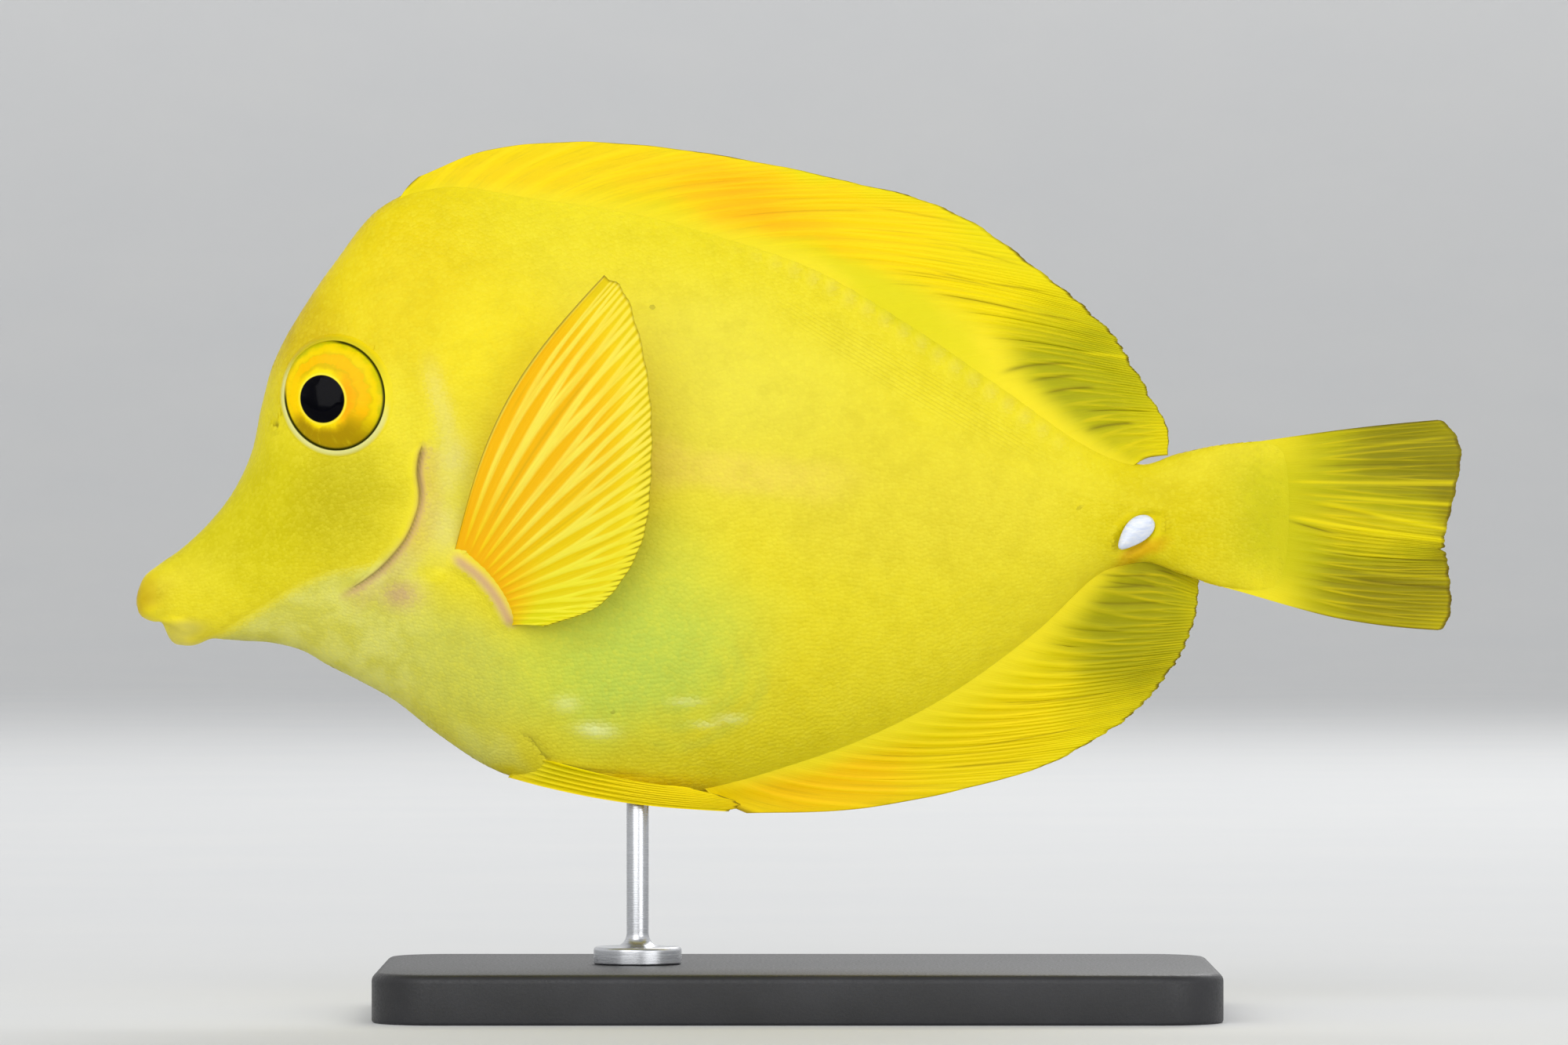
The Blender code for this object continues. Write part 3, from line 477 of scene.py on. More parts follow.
class Wiring:
    """Adds nodes to a tree by kind, and sets or connects their inputs by name or number."""

    def __init__(self, tree):
        self.tree = tree
        tree.nodes.clear()

    def add(self, kind, inputs=None, output=0, **settings):
        node = self.tree.nodes.new(kind)
        for name, value in settings.items():
            setattr(node, name, value)
        for key, value in (inputs or {}).items():
            if isinstance(value, bpy.types.NodeSocket):
                self.tree.links.new(value, node.inputs[key])
            else:
                node.inputs[key].default_value = value
        return node.outputs[output] if node.outputs else node

    def math(self, operation, first, second=0.0):
        return self.add("ShaderNodeMath", {0: first, 1: second}, operation=operation)

    def split(self, vector):
        return self.add("ShaderNodeSeparateXYZ", {0: vector}).node.outputs

    def times(self, first, second):
        return self.math("MULTIPLY", first, second)

    def mix(self, factor, first, second):
        """The first colour where the factor is 0, the second where it is 1."""
        return self.add("ShaderNodeMix", {0: factor, 6: first, 7: second}, 2, data_type="RGBA")

    def patch(self, where, x, z, turn, across, up):
        """Nearness, 0 to 1, to the middle of an oval in millimetres and degrees, and the place in it."""
        inputs = {
            "Vector": where,
            "Location": (x * MM, 0, z * MM),
            "Rotation": (0, -math.radians(turn), 0),
            "Scale": (across * MM, 1, up * MM),
        }
        local = self.add("ShaderNodeMapping", inputs, vector_type="TEXTURE")
        return self.add("ShaderNodeTexGradient", {"Vector": local}, 1, gradient_type="SPHERICAL"), local

    def ramp(self, value, low, high, to_low=0.0, to_high=1.0, soft=True):
        inputs = {0: value, 1: low, 2: high, 3: to_low, 4: to_high}
        return self.add("ShaderNodeMapRange", inputs, interpolation_type="SMOOTHSTEP" if soft else "LINEAR")

    def noise(self, where, size, detail=3.0, roughness=0.55):
        """Noise from 0 to 1 whose blots are about the given size across."""
        inputs = {"Vector": where, "Scale": 1 / size, "Detail": detail, "Roughness": roughness}
        return self.add("ShaderNodeTexNoise", inputs)

    def place(self):
        return self.add("ShaderNodeTexCoord", output="Object")

    def attribute(self, name, output="Fac"):
        return self.add("ShaderNodeAttribute", output=output, attribute_name=name)

    def bump(self, height, distance, normal=None):
        inputs = {"Height": height, "Distance": distance, "Strength": 1.0}
        if normal is not None:
            inputs["Normal"] = normal
        return self.add("ShaderNodeBump", inputs)

    def finish(self, flesh=None, **inputs):
        """The shader itself, with underscores in its sockets' names where they have spaces.

        Flesh is how much of the light soaks in, how far each colour of it goes, and how far in all.
        """
        sockets = {name.replace("_", " "): value for name, value in inputs.items()}
        if flesh:
            sockets["Subsurface Weight"], sockets["Subsurface Radius"], sockets["Subsurface Scale"] = flesh
        shader = self.add("ShaderNodeBsdfPrincipled", sockets)
        self.add("ShaderNodeOutputMaterial", {"Surface": shader})


# Colours of the fish's side as soft patches: middle x, z, radii, turn in degrees, colour, strength
BODY_YELLOW = srgb(240, 222, 34)
BODY_PATCHES = (
    (-38, 66, 17, 17, 0, srgb(238, 212, 0), 1.0),  # nape
    (-46, 64, 6, 14, 15, srgb(216, 186, 0), 0.9),  # forehead
    (-50, 46, 13, 13, 0, srgb(216, 202, 0), 1.0),  # face
    (-41, 46, 7, 9, 20, srgb(196, 182, 0), 0.75),  # cheek
    (-60.2, 37.6, 4.2, 3.0, 0, srgb(186, 154, 0), 0.8),  # snout tip, darker golden brown: painted shade
    (-31, 31, 13, 9, -30, srgb(206, 208, 84), 0.85),  # breast
    (-15, 33, 17, 12, 5, srgb(208, 224, 78), 0.9),  # belly
    (-14, 31, 9, 7, 0, srgb(190, 216, 84), 0.5),  # gut showing through
    (-16, 42, 13, 6, 0, srgb(218, 224, 70), 0.5),  # above the belly
    (-10, 56, 24, 14, -12, srgb(240, 226, 66), 0.8),  # flank
    (8, 47, 24, 11, -12, srgb(232, 212, 46), 0.6),  # rear flank
    (-6, 49, 16, 3.2, -4, srgb(246, 218, 82), 0.6),  # warm streak along the flank
    (-32, 48, 3.2, 8, 5, srgb(232, 222, 70), 0.7),  # behind the gills
    (-36.4, 55, 3, 6, 0, srgb(246, 230, 50), 0.5),  # above the gill cover
    (-32.8, 40.4, 2.2, 1.4, 0, srgb(252, 234, 0), 0.9),  # bright spot under the gill slit
    (-26, 60, 9, 9, 0, srgb(252, 230, 10), 0.8),  # shoulder
    (9, 64.4, 15, 2.9, -34, srgb(216, 208, 0), 0.65),  # foot of the dorsal fin
    (33, 45.5, 11, 8, 0, srgb(226, 206, 0), 1.0),  # tail root
    (46, 45, 11, 10, 0, srgb(196, 190, 0), 0.9),  # foot of the tail fin
    (-56.0, 34.2, 2.8, 1.8, 0, srgb(190, 178, 66), 0.9),  # lower lip
    (30, 41.4, 4.0, 1.6, 20, srgb(226, 164, 0), 0.7),  # painted shade under the tail spine, in orange
    (-18, 20.6, 15, 1.9, -3, srgb(238, 206, 0), 0.95),  # belly keel
    (-28, 24.6, 5, 1.5, -28, srgb(228, 228, 110), 0.6),  # breast keel
)
FIN_YELLOW = srgb(232, 214, 0)
FIN_PATCHES = (
    (-22, 77.5, 20, 5, 0, srgb(244, 212, 0), 1.0),  # dorsal fin, front
    (-1, 73.3, 19, 4.6, -12, srgb(255, 188, 0), 1.0),  # dorsal fin, middle
    (8, 70.5, 14, 5, -25, srgb(254, 216, 0), 0.8),  # dorsal fin, soft rays
    (17, 66, 12, 5, -40, srgb(238, 216, 0), 0.7),  # dorsal fin, outer soft rays
    (26, 57.5, 11, 10, -60, srgb(172, 170, 0), 1.0),  # dorsal fin, rear
    (4, 20.5, 16, 4.5, 8, srgb(252, 202, 0), 1.0),  # anal fin, front
    (18, 24, 13, 6, 30, srgb(240, 212, 0), 0.9),  # anal fin, middle
    (31, 35, 11, 11, 60, srgb(160, 156, 0), 1.0),  # anal fin, rear
    (32, 40, 4, 3, 40, srgb(150, 144, 0), 0.6),  # anal fin, next to the tail root
    (49, 45, 22, 18, 0, srgb(178, 174, 0), 1.0),  # tail fin
    (57, 51, 9, 8, 0, srgb(124, 120, 0), 0.9),  # tail fin, upper corner
    (60, 44, 5, 12, 0, srgb(112, 106, 0), 0.8),  # tail fin, edge
    (51, 44.4, 11, 2.2, -10, srgb(206, 190, 0), 0.7),  # tail fin, middle rays
    (54, 38, 11, 6, -10, srgb(130, 122, 0), 0.85),  # tail fin, lower lobe
    (-14, 19.5, 14, 3, -6, srgb(254, 224, 0), 1.0),  # pelvic fins
)


def colours_by_place(name, ground, patches):
    """A node group that gives a colour by place in the side view, from a ground colour and soft patches."""
    group = bpy.data.node_groups.new(name, "ShaderNodeTree")
    group.interface.new_socket("Colour", in_out="OUTPUT", socket_type="NodeSocketColor")
    wiring = Wiring(group)
    place = wiring.place()
    drift = wiring.add("ShaderNodeTexNoise", {"Vector": place, "Scale": 1 / (9 * MM), "Detail": 3.0}, "Color")
    centred = wiring.add("ShaderNodeVectorMath", {0: drift, 1: (0.5, 0.5, 0.5)}, operation="SUBTRACT")
    scaled = wiring.add("ShaderNodeVectorMath", {0: centred, "Scale": 6 * MM}, operation="SCALE")
    wandering = wiring.add("ShaderNodeVectorMath", {0: place, 1: scaled}, operation="ADD")
    colour = wiring.add("ShaderNodeRGB")
    colour.default_value = ground
    for x, z, across, up, turn, tint, strength in patches:
        nearness, _ = wiring.patch(wandering, x, z, turn, across, up)
        colour = wiring.mix(wiring.ramp(nearness, 0.0, 0.75, 0.0, strength), colour, tint)
    wiring.add("NodeGroupOutput", {"Colour": colour})
    return group


BODY_COLOURS = colours_by_place("body_colours", BODY_YELLOW, BODY_PATCHES)
FIN_COLOURS = colours_by_place("fin_colours", FIN_YELLOW, FIN_PATCHES)


def colour_from(wiring, group):
    """The colour that a node group gives, in a material."""
    node = wiring.tree.nodes.new("ShaderNodeGroup")
    node.node_tree = group
    return node.outputs["Colour"]


def new_material(name):
    material = bpy.data.materials.new(name)
    material.use_nodes = True
    return material, Wiring(material.node_tree)


# The flank's fine lines: middle x and z, turn, half length and half width, and how far apart they are
SEAM_LINES = (10.4, 57.4, -30.4, 17.0, 2.2)
SEAM_SPACING = 0.34


def body_colour(wiring):
    """The body's colour by place, mottled, with its lines and zones, for skin and scales alike."""
    place = wiring.place()
    colour = colour_from(wiring, BODY_COLOURS)
    blotch = wiring.noise(place, 2.4 * MM, 5.0, 0.6)
    colour = wiring.mix(wiring.ramp(blotch, 0.45, 0.75, 0.0, 0.16), colour, srgb(255, 240, 50))
    colour = wiring.mix(wiring.ramp(blotch, 0.55, 0.3, 0.0, 0.14), colour, srgb(196, 176, 0))
    zones = wiring.split(wiring.attribute("zones", "Vector"))
    silver = wiring.mix(wiring.ramp(blotch, 0.35, 0.65), srgb(212, 208, 84), srgb(226, 224, 112))
    colour = wiring.mix(wiring.times(zones["X"], 0.85), colour, silver)
    gut = wiring.mix(wiring.ramp(blotch, 0.4, 0.6), srgb(168, 202, 84), srgb(198, 218, 60))
    colour = wiring.mix(wiring.times(zones["Y"], 0.2), colour, gut)
    # Painted highlight: the belly's iridescent flash in pale cream
    colour = wiring.mix(zones["Z"], colour, srgb(246, 252, 160))
    near, local = wiring.patch(place, *SEAM_LINES)
    across = wiring.split(local)[2]
    waves = wiring.math("SINE", wiring.times(across, 2 * math.pi * SEAM_LINES[-1] / SEAM_SPACING))
    seams = wiring.times(wiring.ramp(waves, 0.2, 1.0, 0.0, 0.34), wiring.ramp(near, 0.0, 0.5))
    colour = wiring.mix(seams, colour, srgb(206, 186, 20))
    lines = wiring.split(wiring.attribute("lines", "Vector"))
    colour = wiring.mix(lines["Z"], colour, srgb(238, 228, 140))
    colour = wiring.mix(lines["X"], colour, srgb(204, 160, 126))
    # Dark marks: painted shade in the slits, creases and nostrils, and the dark freckles
    return wiring.mix(lines["Y"], colour, srgb(104, 88, 30))


def skin_material():
    material, wiring = new_material("skin")
    place = wiring.place()
    colour = body_colour(wiring)
    folds = wiring.noise(place, 1.2 * MM, 5.0, 0.65)
    grain = wiring.noise(place, 0.16 * MM, 2.0)
    relief = wiring.bump(folds, 0.08 * MM, wiring.bump(grain, 0.02 * MM))
    wiring.finish(
        Base_Color=colour,
        Roughness=wiring.ramp(folds, 0.3, 0.7, 0.36, 0.5),
        Normal=relief,
        flesh=(0.12, (1.0, 0.7, 0.1), 1.0 * MM),
        Specular_IOR_Level=0.16,
    )
    return material


bare_points = bare_trunk()
bare_faces = quads_between_rings(*bare_points.shape[:2], closed=True)
bare_surface = BVHTree.FromPolygons(bare_points.reshape(-1, 3).tolist(), bare_faces.tolist())
bare_normals = grid_normals(bare_points)
side_x, side_z = bare_points[..., 0] / MM, bare_points[..., 2] / MM
raised = lip_relief(bare_points, bare_normals) + side_relief(side_x, side_z) * MM + orbit_relief(bare_points)
skin_points = bare_points + bare_normals * raised[..., None]
skin_normals = grid_normals(skin_points)
ring_count, column_count = skin_points.shape[:2]
end_points = np.stack([skin_points[0].mean(0), skin_points[-1].mean(0)])
all_points = np.concatenate([skin_points.reshape(-1, 3), end_points])
skin = mesh_object("skin", all_points, pointed_faces(ring_count, column_count))
for note, strength in (("lines", side_lines), ("zones", side_zones)):
    store(skin, note, np.concatenate([strength(side_x, side_z).reshape(-1, 3), np.zeros((2, 3))]))
skin.data.materials.append(skin_material())
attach(skin, "root")
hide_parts("head", "lower_jaw", "gill_cover_left", "gill_cover_right", "torso", "tail_root")


# Gill flaps. The free rear edge of each gill cover is a thin rounded flap of skin, which stands a little
# off the shoulder. It lies along the gill line, and its front sinks into the cheek.
GILL_FLAP = (  # cross-section as distance ahead of the gill line and height off the skin, in millimetres
    (1.9, -0.02), (1.4, 0.1), (0.9, 0.2), (0.45, 0.28),
    (0.16, 0.31), (0.0, 0.27), (-0.07, 0.18), (-0.04, 0.08),
    (0.12, 0.0), (0.7, -0.12), (1.5, -0.22),
)


def gill_flap(side):
    knots = np.arange(len(GILL_EDGE), dtype=float)
    path = smooth_through(knots, GILL_EDGE, np.linspace(0.05, knots[-1] - 0.05, 150))
    run = unit(np.gradient(path, axis=0))
    fade = faded(np.linspace(0, 1, len(path)), 0.12, 0.3)
    rings = []
    for (x, z), (run_x, run_z), full in zip(path, run, fade):
        ring = []
        for ahead, height in GILL_FLAP:
            spread = ahead * (0.35 + 0.65 * full)
            hit, normal = on_trunk((x + spread * run_z) * MM, (z - spread * run_x) * MM, side)
            outward = normal if normal.y * side > 0 else -normal
            ring.append(hit + outward * (height * full - 0.12 * (1 - full)) * MM)
        rings.append(ring)
    flap = mesh_object(sided("gill_flap", side), rings, capped_faces(len(rings), len(GILL_FLAP)))
    x, _, z = np.array(rings).reshape(-1, 3).T / MM
    store(flap, "lines", side_lines(x, z))
    store(flap, "zones", side_zones(x, z))
    return flap


for side in (-1, 1):
    flap = gill_flap(side)
    flap.data.materials.append(skin.data.materials[0])
    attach(flap, "root")


# Scales. Thousands of tiny rough plates cover the skin like sandpaper, each rooted at its front and lying
# back over the next. They are smallest on the face. Their roots are strewn in staggered rows round the
# body, and one small plate is put on each root by Geometry Nodes.
SCALE_SPACING = (0.30 * MM, 0.36 * MM, 0.44 * MM, 0.36 * MM, 0.3 * MM)
SCALE_SPACING_PLACES = (-60 * MM, -40 * MM, -15 * MM, 34 * MM, 47 * MM)
SCALE_ROW_STEP = 0.84  # distance between rows as a share of the spacing in a row
SCALE_STRAY = 0.28  # how far a root strays from its row, as a share of the spacing
SCALE_SHAPE = (1.8, 1.3, 0.15)  # length, width and thickness as shares of the spacing
SCALE_TILT = math.radians(2.9)
SCALE_FADE = 3.0  # how near a fin's root the scales grow smaller, in millimetres
SCALE_PATCH = 0.003
SCALE_END = (39.5 * MM, 44.5 * MM)  # where the coat starts to thin out at the tail fin, and where it ends
RANDOM = np.random.default_rng(7)


def read_grid(values, rings, columns):
    """Values of a grid of rings, read between its points, with columns that wrap round."""
    low = np.clip(rings.astype(int), 0, len(values) - 2)
    share = (rings - low)[:, None]
    left = columns.astype(int) % column_count
    right = (left + 1) % column_count
    over = (columns % 1)[:, None]
    near = values[low, left] * (1 - over) + values[low, right] * over
    far = values[low + 1, left] * (1 - over) + values[low + 1, right] * over
    return near * (1 - share) + far * share


def scale_roots():
    """Places, outward and tailward directions, sizes and unwrapped places of the scales' roots."""
    ring_numbers, column_numbers = np.arange(ring_count), np.arange(column_count + 1)
    middle_x = skin_points[:, :, 0].mean(1)
    walked = np.concatenate([[0], np.cumsum(np.linalg.norm(np.diff(skin_points.mean(1), axis=0), axis=1))])
    wrapped = np.concatenate([skin_points, skin_points[:, :1]], axis=1)
    girths = np.cumsum(np.linalg.norm(np.diff(wrapped, axis=1), axis=2), axis=1)
    girths = np.concatenate([np.zeros((ring_count, 1)), girths], axis=1)
    reached, row = 0.4 * MM, 0
    rows = []
    while reached < walked[-1]:
        place = np.interp(reached, walked, ring_numbers)
        spacing = np.interp(np.interp(place, ring_numbers, middle_x), SCALE_SPACING_PLACES, SCALE_SPACING)
        girth = girths[int(place)]
        count = max(8, round(girth[-1] / spacing))
        turns = np.arange(count) + 0.5 * (row % 2) + RANDOM.uniform(-SCALE_STRAY, SCALE_STRAY, count)
        turns = turns / count % 1
        columns = np.interp(turns * girth[-1], girth, column_numbers)
        strayed = reached + RANDOM.uniform(-SCALE_STRAY, SCALE_STRAY, count) * spacing
        rings = np.interp(strayed, walked, ring_numbers)
        rows.append(np.stack([rings, columns, np.full(count, spacing)], axis=1))
        reached += spacing * SCALE_ROW_STEP
        row += 1
    rings, columns, spacing = np.concatenate(rows).T
    along = unit(np.gradient(skin_points, axis=0))
    read = [read_grid(values, rings, columns) for values in (skin_points, skin_normals, along)]
    unwrapped = np.stack([rings / ring_count, columns / column_count, np.zeros(len(rings))], axis=1)
    return np.concatenate([*read, spacing[:, None], unwrapped], axis=1)


def bare_places(points):
    """Where no scale grows: round the eyes, on the lips, along the gill slit and at the tail spines."""
    x, z = points[:, 0] / MM, points[:, 2] / MM
    thinning = RANDOM.uniform(SCALE_END[0] / MM, SCALE_END[1] / MM, len(x))
    bare = (x < -58.2) | (x > thinning) | (np.abs(measured_from(MOUTH_SLIT, x, z)[0]) < 0.7)
    bare |= np.hypot((x + 55.4) / 2.1, (z - 34.4) / 1.5) < 1
    gill, gill_share = measured_from(GILL_EDGE, x, z)
    bare |= (gill > -0.4) & (gill < 0.9) & (gill_share > 0.03) & (gill_share < 0.97)
    root, root_share = measured_from(PECTORAL_ROOT, x, z)
    bare |= (np.abs(root) < 0.75) & (root_share > 0.0) & (root_share < 1.0)
    bare |= np.hypot(x - TAIL_SPINE_AT[0] / MM, z - TAIL_SPINE_AT[1] / MM) < 2.2
    for nostril_x, nostril_z, radius in NOSTRILS:
        bare |= np.hypot(x - nostril_x, z - nostril_z) < 1.5 * radius
    for side in (-1, 1):
        share, out = orbit_share(points, side)
        bare |= (share < 1.07) & (out > EYE_BACK)
    return bare


def shrunk_near_fins(points):
    """Shares of full size of the scales, which are smaller next to the dorsal, anal and tail fins."""
    x, z = points[:, 0] / MM, points[:, 2] / MM
    gap = np.minimum(np.abs(measured_from(DORSAL_ROOT, x, z)[0]), np.abs(measured_from(ANAL_ROOT, x, z)[0]))
    return (0.5 + 0.5 * ease(gap / SCALE_FADE)) * (1 - 0.4 * ease((x - 36) / 7))


def scale_tree(material):
    """Puts one plate on each point, turned by its facing and lie, and keeps its patch of the unwrap."""
    tree = bpy.data.node_groups.new("plates_on_points", "GeometryNodeTree")
    for name, kind in (
        ("Geometry", "NodeSocketGeometry"),
        ("Length", "NodeSocketFloat"),
        ("Width", "NodeSocketFloat"),
        ("Thickness", "NodeSocketFloat"),
        ("Tilt", "NodeSocketFloat"),
        ("Patch", "NodeSocketFloat"),
        ("Seed", "NodeSocketInt"),
    ):
        tree.interface.new_socket(name, in_out="INPUT", socket_type=kind)
    tree.interface.new_socket("Geometry", in_out="OUTPUT", socket_type="NodeSocketGeometry")
    wiring = Wiring(tree)
    given = tree.nodes.new("NodeGroupInput").outputs

    def named(name, kind):
        return wiring.add("GeometryNodeInputNamedAttribute", {"Name": name}, data_type=kind)

    def combine(x=0.0, y=0.0, z=0.0):
        return wiring.add("ShaderNodeCombineXYZ", {0: x, 1: y, 2: z})

    def vector(operation, first, second):
        return wiring.add("ShaderNodeVectorMath", {0: first, 1: second}, operation=operation)

    cone = {"Vertices": 6, "Side Segments": 1, "Radius Top": 0.0, "Radius Bottom": 0.5, "Depth": 0.5}
    plate = wiring.add("GeometryNodeMeshCone", cone, fill_type="NGON")
    spot = wiring.add("GeometryNodeInputPosition")
    patch = wiring.add("ShaderNodeVectorMath", {0: spot, "Scale": given["Patch"]}, operation="SCALE")
    plate = wiring.add(
        "GeometryNodeStoreNamedAttribute",
        {"Geometry": plate, "Name": "OFBake", "Value": patch},
        data_type="FLOAT2",
        domain="CORNER",
    )
    # Each plate's place from front to rear, by which the scale material paints shade at its front
    rear = wiring.add("ShaderNodeSeparateXYZ", {0: spot})
    plate = wiring.add(
        "GeometryNodeStoreNamedAttribute",
        {"Geometry": plate, "Name": "rear", "Value": rear},
        data_type="FLOAT",
        domain="POINT",
    )
    sized = combine(given["Length"], given["Width"], given["Thickness"])
    back, down = wiring.times(given["Length"], 0.35), wiring.times(given["Thickness"], -0.3)
    shift = combine(back, 0.0, down)
    plate = wiring.add("GeometryNodeTransform", {"Geometry": plate, "Scale": sized, "Translation": shift})
    turned = wiring.add(
        "FunctionNodeAxesToRotation",
        {"Primary Axis": named("facing", "FLOAT_VECTOR"), "Secondary Axis": named("lie", "FLOAT_VECTOR")},
        primary_axis="Z",
        secondary_axis="X",
    )
    lift = wiring.add(
        "FunctionNodeRandomValue",
        {"Min": 0.6, "Max": 1.4, "Seed": given["Seed"]},
        "Value",
        data_type="FLOAT",
    )
    lift = next(s for s in lift.node.outputs if s.enabled)
    tilt = combine(0.0, wiring.times(wiring.times(given["Tilt"], -1.0), lift), 0.0)
    tilt = wiring.add("FunctionNodeEulerToRotation", {0: tilt})
    turned = wiring.add(
        "FunctionNodeRotateRotation", {"Rotation": turned, "Rotate By": tilt}, rotation_space="LOCAL"
    )
    plates = wiring.add(
        "GeometryNodeInstanceOnPoints",
        {"Points": given["Geometry"], "Instance": plate, "Rotation": turned, "Scale": named("size", "FLOAT")},
    )
    real = wiring.add("GeometryNodeRealizeInstances", {"Geometry": plates})
    unwrapped = vector("ADD", named("OFBake", "FLOAT_VECTOR"), named("root", "FLOAT_VECTOR"))
    real = wiring.add(
        "GeometryNodeStoreNamedAttribute",
        {"Geometry": real, "Name": "OFBake", "Value": unwrapped},
        data_type="FLOAT2",
        domain="CORNER",
    )
    real = wiring.add("GeometryNodeSetMaterial", {"Geometry": real, "Material": material})
    wiring.add("NodeGroupOutput", {0: real})
    return tree


def scale_material():
    material, wiring = new_material("scales")
    place = wiring.place()
    colour = body_colour(wiring)
    tone = wiring.attribute("tone")
    rear = wiring.attribute("rear")
    colour = wiring.mix(wiring.ramp(tone, 0.3, 1.0, 0.0, 0.16, soft=False), colour, srgb(255, 244, 70))
    # Painted shade: each plate is darker at its front, where it lies under the plate before it
    colour = wiring.mix(wiring.ramp(rear, 0.0, -0.5, 0.0, 0.1), colour, srgb(190, 164, 0))
    grain = wiring.noise(place, 0.12 * MM, 2.0)
    wiring.finish(
        Base_Color=colour,
        Roughness=wiring.ramp(tone, 0.0, 1.0, 0.38, 0.52, soft=False),
        Normal=wiring.bump(grain, 0.015 * MM),
        flesh=(0.1, (1.0, 0.7, 0.1), 0.7 * MM),
        Specular_IOR_Level=0.16,
    )
    return material


def instanced(obj, tree, **sizes):
    """Runs a tree on the object with its named inputs set, and leaves the result as a plain mesh."""
    modifier = obj.modifiers.new(tree.name, "NODES")
    modifier.node_group = tree
    for item in tree.interface.items_tree:
        if item.in_out == "INPUT" and item.name in sizes:
            modifier[item.identifier] = sizes[item.name]
    graph = bpy.context.evaluated_depsgraph_get()
    mesh = bpy.data.meshes.new_from_object(obj.evaluated_get(graph))
    obj.modifiers.clear()
    points = obj.data
    obj.data = mesh
    bpy.data.meshes.remove(points)
    return obj


roots = scale_roots()
roots = roots[~bare_places(roots[:, :3])]
plates = scale_tree(scale_material())
length, width, thickness = SCALE_SHAPE
COAT_ENDS = (("head", -1.0, -34 * MM), ("shoulder", -34 * MM, -12 * MM), ("flank", -12 * MM, 1.0))
for end, start, stop in COAT_ENDS:
    for side in (-1, 1):
        within = (roots[:, 0] >= start) & (roots[:, 0] < stop)
        chosen = roots[within & ((roots[:, 1] - sway(roots[:, 0])) * side > 0)]
        coat = mesh_object(sided(f"scales_{end}", side), chosen[:, :3], [])
        store(coat, "facing", chosen[:, 3:6])
        store(coat, "lie", chosen[:, 6:9])
        store(coat, "size", chosen[:, 9] * shrunk_near_fins(chosen[:, :3]))
        store(coat, "root", chosen[:, 10:13])
        store(coat, "tone", RANDOM.uniform(0, 1, len(chosen)))
        store(coat, "lines", side_lines(chosen[:, 0] / MM, chosen[:, 2] / MM))
        store(coat, "zones", side_zones(chosen[:, 0] / MM, chosen[:, 2] / MM))
        sizes = {"Length": length, "Width": width, "Thickness": thickness, "Tilt": SCALE_TILT}
        instanced(coat, plates, **sizes, Patch=SCALE_PATCH, Seed=3)
        for name in ("facing", "lie", "size", "root"):
            left_over = coat.data.attributes.get(name)
            if left_over:
                coat.data.attributes.remove(left_over)
        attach(coat, "root")


# Eyes. Each is a glossy ball with a black, slightly egg-shaped pupil set forward of its middle, a thin
# bright ring round the pupil and an orange and yellow iris, olive below. A raised fold of skin with a dark
# inner line holds it. The ball is turned round its own axis, and the fold follows the skin round it.
EYE_RIM = 0.3 * MM  # how far the ball reaches past the orbit
EYE_HALF_DEPTH = 1.7 * MM
EYE_SINK = 0.7 * MM
PUPIL_AT = (0.9 * MM, -0.4 * MM)  # forward of and above the eye's middle
PUPIL_RADII = (2.2 * MM, 2.04 * MM)  # along and across its long axis
PUPIL_LEAN = math.radians(52)  # of the long axis, upward from forward
LENS_BULGE = 0.2 * MM
EYE_RINGS, EYE_SPOKES = 72, 112


def eyeball(side):
    """A closed, flattened ball in the eye's own directions, bulging where the lens shows in the pupil."""
    centre, forward, up, axis = eye_frame(side)
    tilt = np.linspace(0, math.pi, EYE_RINGS)[:, None]
    spoke = np.linspace(0, 2 * math.pi, EYE_SPOKES, endpoint=False)[None, :]
    lengthways = (ORBIT_RADII[0] + EYE_RIM) * np.sin(tilt) * np.cos(spoke)
    crossways = (ORBIT_RADII[1] + EYE_RIM) * np.sin(tilt) * np.sin(spoke)
    ahead = lengthways * math.cos(ORBIT_LEAN) - crossways * math.sin(ORBIT_LEAN)
    above = lengthways * math.sin(ORBIT_LEAN) + crossways * math.cos(ORBIT_LEAN)
    out = EYE_HALF_DEPTH * np.cos(tilt) * np.ones_like(spoke)
    pupil = oval_share(ahead - PUPIL_AT[0], above - PUPIL_AT[1], PUPIL_RADII, PUPIL_LEAN)
    bulge = LENS_BULGE * ease((1.12 - pupil) / 0.5) - 0.05 * MM * bell(pupil - 1.16, 0.1)
    out += (np.cos(tilt) > 0) * bulge
    grid = np.stack([ahead, above, out], axis=-1)
    local = np.concatenate([grid[1:-1].reshape(-1, 3), grid[:1, 0], grid[-1:, 0]])
    points = centre - axis * EYE_SINK + local @ np.stack([forward, up, axis])
    ball = mesh_object(sided("eyeball", side), points, pointed_faces(EYE_RINGS - 2, EYE_SPOKES))
    store(ball, "eye_place", local / MM)
    return ball


